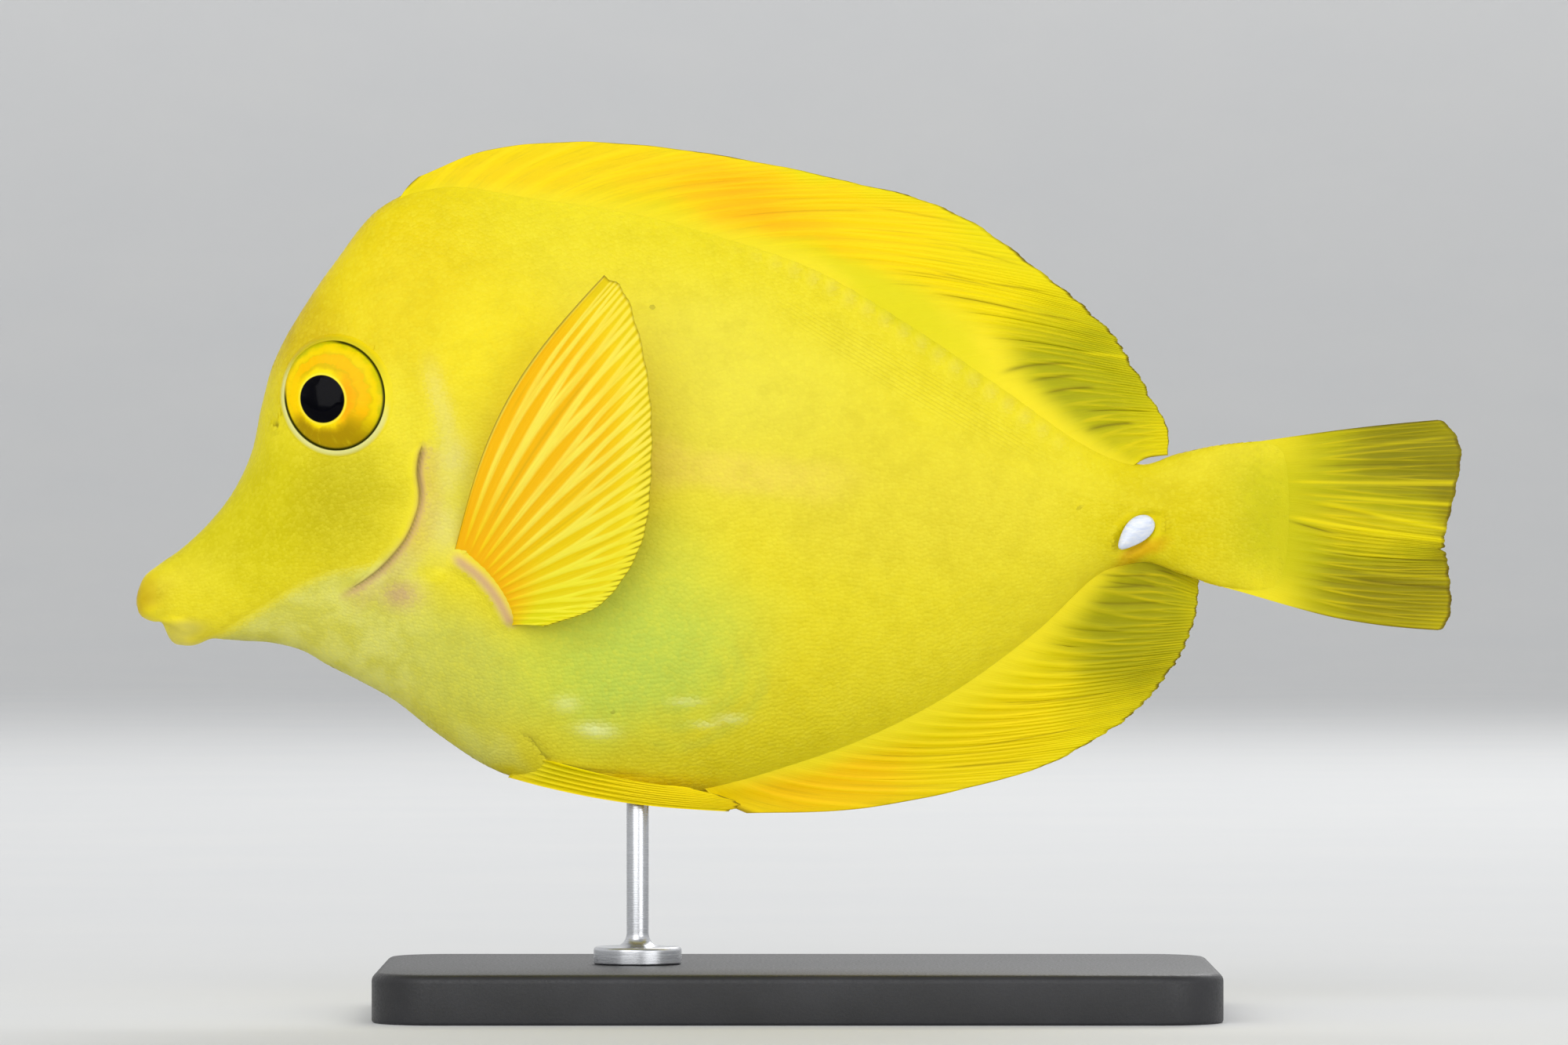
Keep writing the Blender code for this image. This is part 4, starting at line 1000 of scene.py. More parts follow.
def iris_material():
    material, wiring = new_material("iris")
    place = wiring.attribute("eye_place", "Vector")

    def vector(operation, first, second, output=0):
        return wiring.add("ShaderNodeVectorMath", {0: first, 1: second}, output, operation=operation)

    def oval(at, radii, lean):
        turned = wiring.add("ShaderNodeVectorRotate", {"Vector": at, "Angle": -lean}, rotation_type="Z_AXIS")
        return vector("LENGTH", vector("MULTIPLY", turned, (MM / radii[0], MM / radii[1], 0)), (0, 0, 0), 1)

    at = vector("SUBTRACT", place, (PUPIL_AT[0] / MM, PUPIL_AT[1] / MM, 0))
    pupil = oval(at, PUPIL_RADII, PUPIL_LEAN)
    orbit = oval(place, ORBIT_RADII, ORBIT_LEAN)
    inner = wiring.times(wiring.math("SUBTRACT", pupil, 1.0), PUPIL_RADII[1] / MM)
    outer = wiring.times(wiring.math("SUBTRACT", 1.0, orbit), ORBIT_RADII[1] / MM)
    outer = wiring.math("MAXIMUM", outer, 0.0)
    reach = wiring.math("DIVIDE", inner, wiring.math("ADD", inner, outer))
    ahead, above, _ = wiring.split(at)
    angle = wiring.math("ARCTAN2", above, ahead)
    spokes = wiring.add("ShaderNodeCombineXYZ", {0: wiring.times(angle, 5.0), 1: reach, 2: 0.0})
    fibres = wiring.noise(spokes, 0.5, 5.0, 0.65)
    clouds = wiring.noise(place, 1 / 0.9, 3.0, 0.5)
    wavy = wiring.math("ADD", reach, wiring.ramp(clouds, 0.3, 0.7, -0.06, 0.06))
    distance = wiring.math("ADD", vector("LENGTH", at, (0, 0, 0), 1), 0.01)
    below = wiring.math("DIVIDE", above, distance)
    behind = wiring.math("DIVIDE", ahead, distance)
    colour = wiring.mix(wiring.ramp(wavy, 0.1, 0.3), srgb(250, 222, 0), srgb(220, 184, 0))
    colour = wiring.mix(wiring.ramp(wavy, 0.58, 0.72), colour, srgb(240, 208, 0))
    colour = wiring.mix(wiring.ramp(wavy, 0.78, 0.98), colour, srgb(200, 190, 0))
    crescent = wiring.times(wiring.ramp(wavy, 0.3, 0.4), wiring.ramp(wavy, 0.66, 0.54))
    crescent = wiring.times(crescent, wiring.ramp(below, -0.7, -0.1, 0.2, 1.0))
    colour = wiring.mix(crescent, colour, srgb(255, 190, 0))
    warm = wiring.times(wiring.ramp(behind, -0.3, -0.8), wiring.ramp(wavy, 0.45, 0.15))
    colour = wiring.mix(warm, colour, srgb(248, 172, 0))
    low = wiring.times(wiring.ramp(below, -0.2, -0.75), wiring.ramp(wavy, 0.1, 0.45))
    colour = wiring.mix(wiring.times(low, 0.9), colour, srgb(160, 130, 0))
    front = wiring.times(wiring.ramp(behind, 0.5, 0.9), wiring.ramp(below, -0.7, -0.2))
    colour = wiring.mix(wiring.times(front, 0.8), colour, srgb(250, 208, 0))
    colour = wiring.mix(wiring.ramp(fibres, 0.5, 0.8, 0.0, 0.22), colour, srgb(255, 236, 40))
    colour = wiring.mix(wiring.ramp(fibres, 0.48, 0.2, 0.0, 0.22), colour, srgb(196, 144, 0))
    colour = wiring.mix(wiring.ramp(pupil, 1.14, 1.06, 0.0, 0.85), colour, srgb(252, 232, 60))
    across, upward, _ = wiring.split(place)
    lean = wiring.math("DIVIDE", wiring.math("ADD", across, upward), orbit)
    ring = wiring.times(wiring.ramp(orbit, 0.925, 0.97), wiring.ramp(lean, 6.1, 4.2, 0.15, 1.0))
    colour = wiring.mix(ring, colour, srgb(50, 52, 0))
    colour = wiring.mix(wiring.ramp(pupil, 1.04, 0.99), colour, srgb(0, 0, 4))
    wiring.finish(
        Base_Color=colour,
        Roughness=wiring.ramp(pupil, 0.95, 1.1, 0.08, 0.3),
        Normal=wiring.bump(wiring.times(fibres, wiring.ramp(pupil, 1.05, 1.2)), 0.02 * MM),
        Coat_Weight=0.03,
        Coat_Roughness=0.05,
        Specular_IOR_Level=0.05,
    )
    return material


# Cross-section of the fold round the eye: distance out from the orbit, share of the way from the skin up to
# the eye's own plane, and height above that
EYE_FOLD = (
    (0.85, 0.0, -0.16),
    (0.62, 0.06, 0.0),
    (0.46, 0.2, 0.06),
    (0.3, 0.4, 0.12),
    (0.14, 0.6, 0.17),
    (0.02, 0.7, 0.16),
    (-0.07, 0.75, 0.08),
    (-0.12, 0.75, -0.05),
    (-0.14, 0.75, -0.45),
    (0.2, 0.6, -0.9),
    (0.7, 0.2, -0.8),
)
FOLD_SPOKES = 144


def eye_fold(side):
    """The ring of skin round the eye, which rises from the skin and turns in against the ball."""
    centre, forward, up, axis = eye_frame(side)
    lengthways = math.cos(ORBIT_LEAN) * forward + math.sin(ORBIT_LEAN) * up
    crossways = math.cos(ORBIT_LEAN) * up - math.sin(ORBIT_LEAN) * forward
    rings, places = [], []
    for out, rise, height in EYE_FOLD:
        for spoke in np.linspace(0, 2 * math.pi, FOLD_SPOKES, endpoint=False):
            flat = centre + (ORBIT_RADII[0] + out * MM) * math.cos(spoke) * lengthways
            flat = flat + (ORBIT_RADII[1] + out * MM) * math.sin(spoke) * crossways
            hit, _, _, _ = bare_surface.ray_cast(Vector(flat + axis * 12 * MM), Vector(-axis))
            ground = float(np.dot(np.array(hit) - centre, axis)) if hit else EYE_BACK
            rings.append(flat + axis * (ground * (1 - rise) + height * MM))
            places.append((math.cos(spoke + ORBIT_LEAN), math.sin(spoke + ORBIT_LEAN), out))
    faces = quads_between_rings(len(EYE_FOLD) + 1, FOLD_SPOKES, closed=True) % len(rings)
    fold = mesh_object(sided("eye_fold", side), rings, faces.tolist())
    store(fold, "fold_place", np.array(places))
    return fold


def eye_fold_material():
    material, wiring = new_material("eye_fold")
    forward, up, out = wiring.split(wiring.attribute("fold_place", "Vector"))
    colour = colour_from(wiring, BODY_COLOURS)
    where = wiring.math("MAXIMUM", wiring.ramp(up, 0.0, -0.5), wiring.ramp(forward, 0.75, 0.97))
    pale = wiring.times(wiring.ramp(out, 0.55, 0.2, 0.0, 0.75), where)
    colour = wiring.mix(pale, colour, srgb(220, 220, 150))
    olive = wiring.times(wiring.ramp(out, 0.6, 0.1, 0.0, 0.45), wiring.ramp(up, 0.1, 0.6))
    colour = wiring.mix(olive, colour, srgb(176, 172, 20))
    lean = wiring.ramp(wiring.math("ADD", forward, up), 1.3, 0.8, 0.15, 1.0)
    colour = wiring.mix(wiring.times(wiring.ramp(out, 0.04, -0.06), lean), colour, srgb(60, 62, 2))
    grain = wiring.noise(wiring.place(), 0.35 * MM, 4.0, 0.6)
    wiring.finish(
        Base_Color=colour,
        Roughness=wiring.ramp(grain, 0.3, 0.7, 0.36, 0.5),
        Normal=wiring.bump(grain, 0.04 * MM),
        flesh=(0.12, (1.0, 0.7, 0.1), 0.8 * MM),
        Specular_IOR_Level=0.16,
    )
    return material


iris = iris_material()
fold_skin = eye_fold_material()
for side in (-1, 1):
    ball = eyeball(side)
    ball.data.materials.append(iris)
    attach(ball, "root")
    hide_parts("eye_left" if side < 0 else "eye_right")
    fold = eye_fold(side)
    fold.data.materials.append(fold_skin)
    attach(fold, "root")


# Tail spines. One white, blade-like spine lies in a slot on each side of the tail root, folded forward,
# rounded at its hinge and pointed at its free end, smooth and slightly glassy like a fingernail.
TAIL_SPINE_LENGTH = 4.1 * MM
TAIL_SPINE_WIDTH = 3.1 * MM
TAIL_SPINE_THICKNESS = 1.3 * MM


def tail_spine(side):
    point, _ = on_trunk(*TAIL_SPINE_AT, side)
    lengthways = np.array([math.cos(TAIL_SPINE_TILT), 0, math.sin(TAIL_SPINE_TILT)])
    crossways = np.array([-math.sin(TAIL_SPINE_TILT), 0, math.cos(TAIL_SPINE_TILT)])
    outward = np.array([0, side, 0])
    rings, spokes = 36, 40
    t = np.linspace(0, 1, rings)[1:-1, None]
    outline = np.sqrt(np.sin(math.pi * t**0.78)) * (0.3 + 0.7 * t) / 0.92
    turn = np.linspace(0, 2 * math.pi, spokes, endpoint=False)[None, :]
    wide = TAIL_SPINE_WIDTH / 2 * outline * np.cos(turn)
    thick = TAIL_SPINE_THICKNESS / 2 * np.sqrt(outline) * np.sin(turn) * (1 - 0.35 * np.abs(np.cos(turn)))
    long = TAIL_SPINE_LENGTH * (t - 0.5) * np.ones_like(turn)
    bend = 0.12 * MM * np.cos(math.pi * (t - 0.5))
    place = np.array([point.x, point.y, point.z]) + outward * 0.06 * MM
    flat = long[..., None] * lengthways + (wide + bend)[..., None] * crossways
    grid = place + flat + thick[..., None] * outward
    tips = place + TAIL_SPINE_LENGTH / 2 * np.array([[-1.0], [1.0]]) * lengthways
    points = np.concatenate([grid.reshape(-1, 3), tips])
    return mesh_object(sided("tail_blade", side), points, pointed_faces(rings - 2, spokes))


def horn_material():
    material, wiring = new_material("tail_spine_horn")
    place = wiring.place()
    inputs = {"Vector": place, "Rotation": (0, TAIL_SPINE_TILT, 0), "Scale": (0.25, 1.0, 1.0)}
    lengthways = wiring.add("ShaderNodeMapping", inputs)
    growth = wiring.noise(lengthways, 0.35 * MM, 4.0, 0.6)
    colour = wiring.mix(wiring.ramp(growth, 0.3, 0.75), srgb(206, 216, 238), srgb(236, 238, 240))
    wiring.finish(
        Base_Color=colour,
        Roughness=wiring.ramp(growth, 0.3, 0.7, 0.25, 0.4),
        Normal=wiring.bump(growth, 0.03 * MM),
        flesh=(0.25, (1.0, 1.0, 1.0), 0.6 * MM),
        Coat_Weight=0.3,
        Coat_Roughness=0.1,
    )
    return material


horn = horn_material()
for side in (-1, 1):
    blade = tail_spine(side)
    blade.data.materials.append(horn)
    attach(blade, "root")
    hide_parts("tail_spine_left" if side < 0 else "tail_spine_right")


# Dorsal, anal and tail fins. Thin skin is stretched over bony rays that lie back along the fish: a few
# stiff spines in front, then soft rays that fork twice towards the edge. The skin sinks between the rays and
# ends in a fine dark seam. Painted shade darkens it between the rays and in its creases, and painted
# highlights lighten a few rays. Each fin is one closed sheet, read from its key rays.
DORSAL_KEYS = np.array(
    [
        (-36.0, 74.5, -34.4, 76.0), (-32.6, 75.3, -28.3, 78.4),
        (-29.0, 75.1, -20.5, 79.2), (-24.6, 74.6, -10.5, 78.5),
        (-19.0, 73.9, 3.6, 75.9), (-12.3, 72.5, 14.1, 72.9),
        (-4.6, 70.4, 23.4, 66.5), (4.0, 66.9, 28.2, 62.3),
        (12.6, 61.5, 30.5, 58.9), (20.2, 56.1, 32.4, 55.6),
        (26.2, 52.0, 33.7, 52.7), (30.2, 50.2, 33.6, 50.7),
    ]
) * MM
ANAL_KEYS = np.array(
    [
        (-8.9, 20.3, -4.6, 18.2), (-7.6, 20.5, 3.0, 18.35),
        (-5.8, 20.9, 12.0, 19.6), (-3.2, 21.5, 20.5, 21.8),
        (1.0, 22.8, 27.0, 24.8), (7.0, 25.0, 30.9, 27.6), (13.2, 28.2, 33.4, 30.4), (18.7, 31.9, 35.0, 32.8),
        (23.9, 36.4, 36.2, 36.2), (28.2, 40.6, 36.5, 39.3),
    ]
) * MM
CAUDAL_KEYS = np.array(
    [
        (38.7, 51.3, 59.3, 54.0), (39.5, 50.0, 60.0, 51.3),
        (40.1, 48.3, 59.5, 47.4), (40.3, 46.4, 58.6, 43.7),
        (40.3, 44.2, 58.6, 42.0), (40.2, 42.0, 58.9, 40.2),
        (39.7, 40.6, 59.1, 37.7), (38.8, 39.2, 59.1, 34.8),
    ]
) * MM
ROOT_SINK = 2.0 * MM
RAY_HALF = (0.24 * MM, 0.09 * MM)  # half thickness of a ray at its root and at its tip
SPINE_HALF = (0.3 * MM, 0.12 * MM)
WEB_HALF = (0.17 * MM, 0.05 * MM)
# Marks along the rays, the creases painted as shade and the gleams as highlights: ray where the mark starts,
# ray where it ends, its start and end along them, width, strength
DORSAL_CREASES = (
    (13.6, 14.1, 0.46, 0.66, 0.16, 0.6),
    (14.1, 13.4, 0.6, 0.95, 0.12, 0.5),
    (16.15, 16.45, 0.3, 0.7, 0.16, 0.75),
    (16.45, 16.1, 0.66, 0.92, 0.12, 0.6),
    (14.1, 14.3, 0.3, 0.7, 0.12, 0.4),
    (21.7, 20.9, 0.13, 0.66, 0.13, 0.7),
    (22.4, 21.95, 0.2, 0.6, 0.13, 0.6),
    (23.2, 22.75, 0.2, 0.66, 0.13, 0.75),
    (25.5, 25.45, 0.18, 0.72, 0.13, 0.7),
    (9.1, 10.1, 0.68, 1.0, 0.1, 0.35),
    (11.0, 11.9, 0.7, 1.0, 0.1, 0.35),
)
ANAL_CREASES = (
    (6.35, 7.35, 0.44, 0.88, 0.13, 0.6),
    (4.1, 4.1, 0.5, 0.92, 0.13, 0.5),
    (11.25, 11.4, 0.3, 0.78, 0.12, 0.5),
    (20.75, 21.15, 0.1, 0.56, 0.09, 0.6),
    (20.05, 20.65, 0.12, 0.62, 0.09, 0.55),
    (19.3, 19.7, 0.16, 0.74, 0.09, 0.5),
    (17.6, 17.9, 0.12, 0.6, 0.09, 0.35),
)
TAIL_CREASES = (
    (6.9, 7.8, 0.2, 0.5, 0.16, 0.8),
    (9.85, 10.3, 0.4, 1.1, 0.12, 0.9),
    (12.0, 12.5, 0.5, 1.1, 0.12, 0.75),
    (5.3, 5.6, 0.35, 0.7, 0.12, 0.35),
    (8.5, 8.5, 0.8, 1.1, 0.1, 0.6),
)
# Painted highlights: bright streaks along single rays, in the same columns as the creases
DORSAL_GLEAMS = (
    (19.9, 18.85, 0.7, 1.1, 0.16, 0.6),
    (8.3, 8.3, 0.1, 0.95, 0.3, 0.2),
    (12.6, 12.6, 0.3, 1.0, 0.25, 0.3),
)
ANAL_GLEAMS = ((8.2, 8.2, 0.2, 1.0, 0.25, 0.3),)
TAIL_GLEAMS = (
    (3.7, 3.45, 0.2, 1.1, 0.12, 0.8),
    (4.6, 4.55, 0.25, 1.1, 0.11, 0.7),
    (5.05, 6.05, 0.3, 1.1, 0.14, 0.8),
    (6.6, 6.9, 0.2, 1.1, 0.2, 0.9),
    (6.7, 7.3, 0.45, 1.1, 0.2, 0.7),
    (9.6, 9.9, 0.3, 0.9, 0.1, 0.5),
    (11.4, 11.9, 0.5, 1.1, 0.1, 0.35),
    (1.6, 1.1, 0.35, 1.0, 0.1, 0.35),
)
# Reach at which the rays begin to show through the flesh at the fin's foot, by ray
DORSAL_FOOT = (
    (0, 10, 12.6, 14, 16.75, 19.9, 22, 25, 28),
    (0.0, 0.0, 0.04, 0.12, 0.18, 0.22, 0.12, 0.08, 0.06),
)
ANAL_FOOT = ((0, 22), (0.02, 0.06))
TAIL_FOOT = ((0, 15), (0.2, 0.2))
COLUMNS_PER_RAY = 20
# Forks of the rays, by where each starts, how long it takes and how far it parts, then a ray's width along
# its length, as a share of the ray spacing
FIN_FORKS = ((0.28, 0.4, 0.25), (0.6, 0.3, 0.125))
RAY_WIDTHS = ((0.0, 0.3, 0.6, 0.85, 1.0), (0.22, 0.2, 0.12, 0.065, 0.06))


def key_rays(keys, share):
    """Roots and tips, as x and z, of the rays at the given shares of the fin."""
    knots = np.concatenate([[0], np.cumsum(np.linalg.norm(np.diff(keys[:, :2], axis=0), axis=1))])
    read = smooth_through(knots, keys, share.ravel() * knots[-1])
    return read[:, :2], read[:, 2:]


def along_rays(rows):
    """Shares of a ray's length at which it is read, closer together near its tip."""
    return np.concatenate([np.linspace(0, 0.95, rows - 5), (0.965, 0.978, 0.988, 0.995, 1.0)])


def ray_relief(place, s, spine_count, forks, widths):
    """How high the rays stand, from 0 in a crease to 1 on a crest, forking on the way to the edge."""
    off = np.abs(place - np.round(place))
    parted = off
    for start, length, apart in forks:
        parted = np.abs(parted - apart * ease((s - start) / length))
    soft = bell(parted, np.interp(s, *widths))
    stiff = bell(off, 0.17 - 0.05 * s)
    return np.where(np.round(place) < spine_count, stiff, soft) * ease(s / 0.16)


def loose_marks(ray_count, strength):
    """Folds between the rays, each with its own place, start, end, width and depth, which the fin materials
    also paint as shade.
    """
    marks = []
    kinds = ((0.5, 0.1, 0.5, 0.07, 1), (0.25, 0.45, 0.8, 0.045, 0.6), (0.75, 0.45, 0.8, 0.045, 0.6))
    for web in range(ray_count - 1):
        for middle, earliest, latest, width, most in kinds:
            start = RANDOM.uniform(earliest, latest)
            end = start + RANDOM.uniform(0.2, 0.75)
            depth = most * RANDOM.uniform(0, 1) ** 1.8 * strength((web + middle) / (ray_count - 1))
            at = web + middle + RANDOM.uniform(-0.05, 0.05)
            marks.append((at, at, start, end, width, depth))
    return marks


def drawn_marks(place, s, marks):
    """How strongly marks along the rays show over a fin."""
    shown = np.zeros((place.size, s.size))
    for first, last, start, end, width, depth in marks:
        run = ease((s - start) / 0.15) * ease((end - s) / 0.12)
        middle = np.interp(s, (start, end), (first, last))
        shown = np.maximum(shown, depth * bell(place - middle, width) * run)
    return shown


def fin_sheet(name, centres, halves, notes):
    """A closed sheet round centres (columns by rows), as thick as the halves, with notes for its material."""
    along, across = np.gradient(centres, axis=1), np.gradient(centres, axis=0)
    normals = unit(np.cross(along, across))
    front, back = centres + normals * halves[..., None], centres - normals * halves[..., None]
    columns, rows = halves.shape
    points = np.concatenate([front.reshape(-1, 3), back.reshape(-1, 3)])
    face = quads_between_rings(columns, rows, closed=False)
    count = columns * rows
    border = [c * rows for c in range(columns)]
    border += [(columns - 1) * rows + r for r in range(1, rows)]
    border += [c * rows + rows - 1 for c in range(columns - 2, -1, -1)]
    border += list(range(rows - 2, 0, -1))
    rim = [(b, a, a + count, b + count) for a, b in zip(border, border[1:] + border[:1])]
    faces = face.tolist() + (face[:, ::-1] + count).tolist() + rim
    fin = mesh_object(name, points, faces)
    for note, values in notes.items():
        values = np.broadcast_to(values, halves.shape)
        store(fin, note, np.concatenate([values.ravel(), values.ravel()]))
    return fin


def fin_edge(place, share, relief, ragged, round_corners, nicks):
    """How far each column of the fin reaches, scalloped between its rays and rounded at its corners."""
    ray_count = round(place[-1, 0]) + 1
    off = np.abs(place - np.round(place))
    uneven = np.interp(place, np.arange(ray_count), RANDOM.uniform(-1, 1, ray_count))
    reach = 1 - ragged * (ease(off / 0.5) + 0.5 * uneven * ease(off * 4) + 0.25 * (1 - relief[:, -1:]))
    for corner, (width, depth) in zip((share, 1 - share), round_corners):
        reach -= depth * (1 - np.sqrt(1 - np.clip(1 - corner / width, 0, 1) ** 2))
    for nick_place, depth in nicks:
        reach -= depth * bell(place - nick_place, 0.3)
    return reach


def fanned(keys, rays, rows):
    """Shares of a fin, as a column, and of its rays, as a row, then places in rays, roots and tips."""
    share = np.linspace(0, 1, (rays - 1) * COLUMNS_PER_RAY + 1)[:, None]
    roots, tips = key_rays(keys, share)
    return share, along_rays(rows)[None, :], share * (rays - 1), roots, tips


def fan_places(roots, tips, s, reach, drawn_in, bow):
    """Places x and z over a fin, drawn in to its edge from a share of its length on and bowed along it."""
    span = tips - roots
    run = s * (1 - (1 - reach) * ease((s - drawn_in) / (1 - drawn_in)))
    arc = bow * np.sin(math.pi * run)
    x = roots[:, :1] + span[:, :1] * run - span[:, 1:] * arc
    z = roots[:, 1:] + span[:, 1:] * run + span[:, :1] * arc
    return x, z


def median_fin(
    name, keys, rays, spines, rows, bow, sink, lean, flesh, foot, folds, creases, gleams, ragged, corners,
    nicks,
):
    """A fin in the body's middle plane."""
    share, s, place, roots, tips = fanned(keys, rays, rows)
    shown = ease((s - np.interp(place, *foot)) / 0.26)
    relief = ray_relief(place, s, spines, FIN_FORKS, RAY_WIDTHS)
    reach = fin_edge(place, share, relief, ragged, corners, nicks)
    relief = relief * shown
    x, z = fan_places(roots, tips, s, reach, 0.5, np.interp(share, (0, 0.85, 1), bow))
    ground = (1 - s) ** 6
    x, z = x + sink[0] * ground, z + sink[1] * ground
    start = roots[:, :1]
    straight = sway(start) + (sway(start + MM) - sway(start)) / MM * (x - start)
    waves = np.interp(place, np.arange(rays), RANDOM.uniform(-1, 1, rays))
    waves = waves * ease((s - 0.2) / 0.8)
    fold = drawn_marks(place, s, loose_marks(rays, lambda at: np.interp(at, (0, 0.25, 0.55, 1), folds)))
    fold = np.maximum(fold * shown, drawn_marks(place, s, creases))
    gleam = drawn_marks(place, s, gleams)
    rim = np.maximum(bell(place, 0.08), bell(rays - 1 - place, 0.08))
    rim = rim * ease((s - 0.25) / 0.2)
    strength = np.interp(share, (0, 0.25, 0.55), (0.35, 0.5, 1.0))
    pleat = ((0.5 - relief) * 0.03 + 0.07 * fold - 0.06 * gleam) * strength * MM * shown
    y = straight + lean * share * s ** 2 + 0.12 * MM * waves + pleat
    stiff = np.round(place) < spines
    spine_half = SPINE_HALF[0] + (SPINE_HALF[1] - SPINE_HALF[0]) * s
    crest = np.where(stiff, spine_half, RAY_HALF[0] + (RAY_HALF[1] - RAY_HALF[0]) * s)
    web = WEB_HALF[0] + (WEB_HALF[1] - WEB_HALF[0]) * s
    halves = web + (crest - web) * relief * strength + flesh * bell(s, 0.26)
    halves *= 1 - 0.6 * ease((s - 0.97) / 0.03)
    notes = {"ridge": relief, "reach": s, "ray": place, "fold": fold, "gleam": gleam}
    notes.update(shown=shown, rim=rim)
    return fin_sheet(name, np.stack([x, y, z], axis=-1), halves, notes)


def along_fin(wiring, ray, reach, across, along, shift, detail, roughness):
    """Noise drawn out along the rays of a fin."""
    inputs = {0: wiring.times(ray, across), 1: wiring.times(reach, along), 2: shift}
    where = wiring.add("ShaderNodeCombineXYZ", inputs)
    return wiring.noise(where, 1.0, detail, roughness)


def fin_material(name):
    """Yellow fin skin with fine rays, painted shade in the folds and between the rays, painted highlights on
    a few rays and a thin dark seam along the edge.
    """
    material, wiring = new_material(name)
    names = ("ridge", "reach", "ray", "fold", "gleam", "shown", "rim")
    ridge, reach, ray, fold, gleam, shown, rim = (wiring.attribute(name) for name in names)
    body, fin = colour_from(wiring, BODY_COLOURS), colour_from(wiring, FIN_COLOURS)
    colour = wiring.mix(shown, body, fin)
    hairs = along_fin(wiring, ray, reach, 9.0, 2.5, 0.0, 4.0, 0.7)
    bands = along_fin(wiring, ray, reach, 1.4, 1.5, 3.0, 3.0, 0.5)
    bright = wiring.times(wiring.ramp(ridge, 0.6, 1.0), wiring.ramp(bands, 0.4, 0.65, 0.1, 0.32))
    colour = wiring.mix(wiring.times(bright, shown), colour, srgb(248, 218, 0))
    light = wiring.times(wiring.ramp(hairs, 0.5, 0.78, 0.0, 0.22), shown)
    colour = wiring.mix(light, colour, srgb(252, 226, 0))
    dull = wiring.times(wiring.ramp(hairs, 0.5, 0.25, 0.0, 0.24), shown)
    colour = wiring.mix(dull, colour, srgb(160, 144, 0))
    # Painted shade: the skin between the rays is darker, where it sinks
    painted_web_shade = wiring.times(wiring.ramp(ridge, 0.3, 0.0, 0.0, 0.08), shown)
    colour = wiring.mix(painted_web_shade, colour, srgb(120, 108, 0))
    # Painted highlights along a few rays
    colour = wiring.mix(wiring.times(gleam, 0.8), colour, srgb(238, 218, 0))
    # Painted shade in the creases of the folds
    colour = wiring.mix(wiring.times(fold, 0.8), colour, srgb(92, 80, 0))
    seam = wiring.times(wiring.ramp(reach, 0.978, 0.996), wiring.ramp(bands, 0.3, 0.6, 0.3, 0.9))
    seam = wiring.math("MAXIMUM", seam, wiring.times(rim, 0.7))
    colour = wiring.mix(seam, colour, srgb(72, 56, 8))
    wiring.finish(
        Base_Color=colour,
        Roughness=wiring.ramp(hairs, 0.3, 0.7, 0.42, 0.56),
        Normal=wiring.bump(hairs, 0.03 * MM),
        flesh=(0.18, (1.0, 0.8, 0.1), 0.7 * MM),
        Specular_IOR_Level=0.14,
    )
    return material


dorsal = median_fin(
    "dorsal_fin_skin", DORSAL_KEYS, rays=29, spines=5, rows=60,
    bow=(0.02, 0.02, 0.02), sink=(-ROOT_SINK / 2, -ROOT_SINK), lean=0.8 * MM, flesh=0.6 * MM,
    foot=DORSAL_FOOT, folds=(0.05, 0.3, 0.9, 0.9), creases=DORSAL_CREASES, gleams=DORSAL_GLEAMS,
    ragged=0.01, corners=((1, 0), (1, 0)), nicks=((7.15, 0.018), (15.0, 0.02), (20.0, 0.02), (23.0, 0.025)),
)
anal = median_fin(
    "anal_fin_skin", ANAL_KEYS, rays=23, spines=3, rows=60,
    bow=(-0.02, -0.02, 0.14), sink=(-ROOT_SINK / 2, ROOT_SINK), lean=1.6 * MM, flesh=0.4 * MM,
    foot=ANAL_FOOT, folds=(0.3, 0.5, 0.7, 0.9), creases=ANAL_CREASES, gleams=ANAL_GLEAMS,
    ragged=0.01, corners=((1, 0), (1, 0)), nicks=((2.05, 0.03), (6.2, 0.015), (13.0, 0.012)),
)
tail = median_fin(
    "tail_fin_skin", CAUDAL_KEYS, rays=16, spines=0, rows=84,
    bow=(0.015, -0.04, -0.05), sink=(-ROOT_SINK, 0.0), lean=-0.6 * MM, flesh=0.0,
    foot=TAIL_FOOT, folds=(0.4, 0.4, 0.4, 0.4), creases=TAIL_CREASES, gleams=TAIL_GLEAMS,
    ragged=0.006, corners=((0.14, 0.07), (0.12, 0.06)), nicks=((8.45, 0.022),),
)
ribbed = fin_material("fin_ribbed")
for fin, node in ((dorsal, "dorsal_fin"), (anal, "anal_fin"), (tail, "tail_fin")):
    fin.data.materials.append(ribbed)
    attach(fin, "root")
    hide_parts(node)


# Pectoral fins. A thin clear fan springs from a fleshy root behind each gill cover and stands off the
# flank. Its rays show as pale and orange streaks, its front ray is stiff and dark-edged, and its rear edge
# is frayed fine.
PECTORAL_KEYS = np.array(
    [
        (-31.0, 41.2, -17.3, 66.7), (-30.4, 40.7, -15.6, 65.6),
        (-29.4, 39.9, -13.6, 59.0), (-28.1, 38.8, -13.0, 50.0),
        (-27.1, 37.8, -13.9, 42.9), (-26.3, 36.7, -17.2, 37.6), (-25.7, 35.4, -22.2, 35.3),
    ]
) * MM
PECTORAL_RAYS = 15
PECTORAL_FORKS = ((0.42, 0.35, 0.25), (0.78, 0.2, 0.125))
PECTORAL_WIDTHS = ((0.0, 0.45, 0.8, 1.0), (0.2, 0.24, 0.12, 0.07))
PECTORAL_BOW = 0.085
PECTORAL_LIFT = (6.0 * MM, 2.2 * MM)
PECTORAL_ROOT_STEP = 0.5 * MM


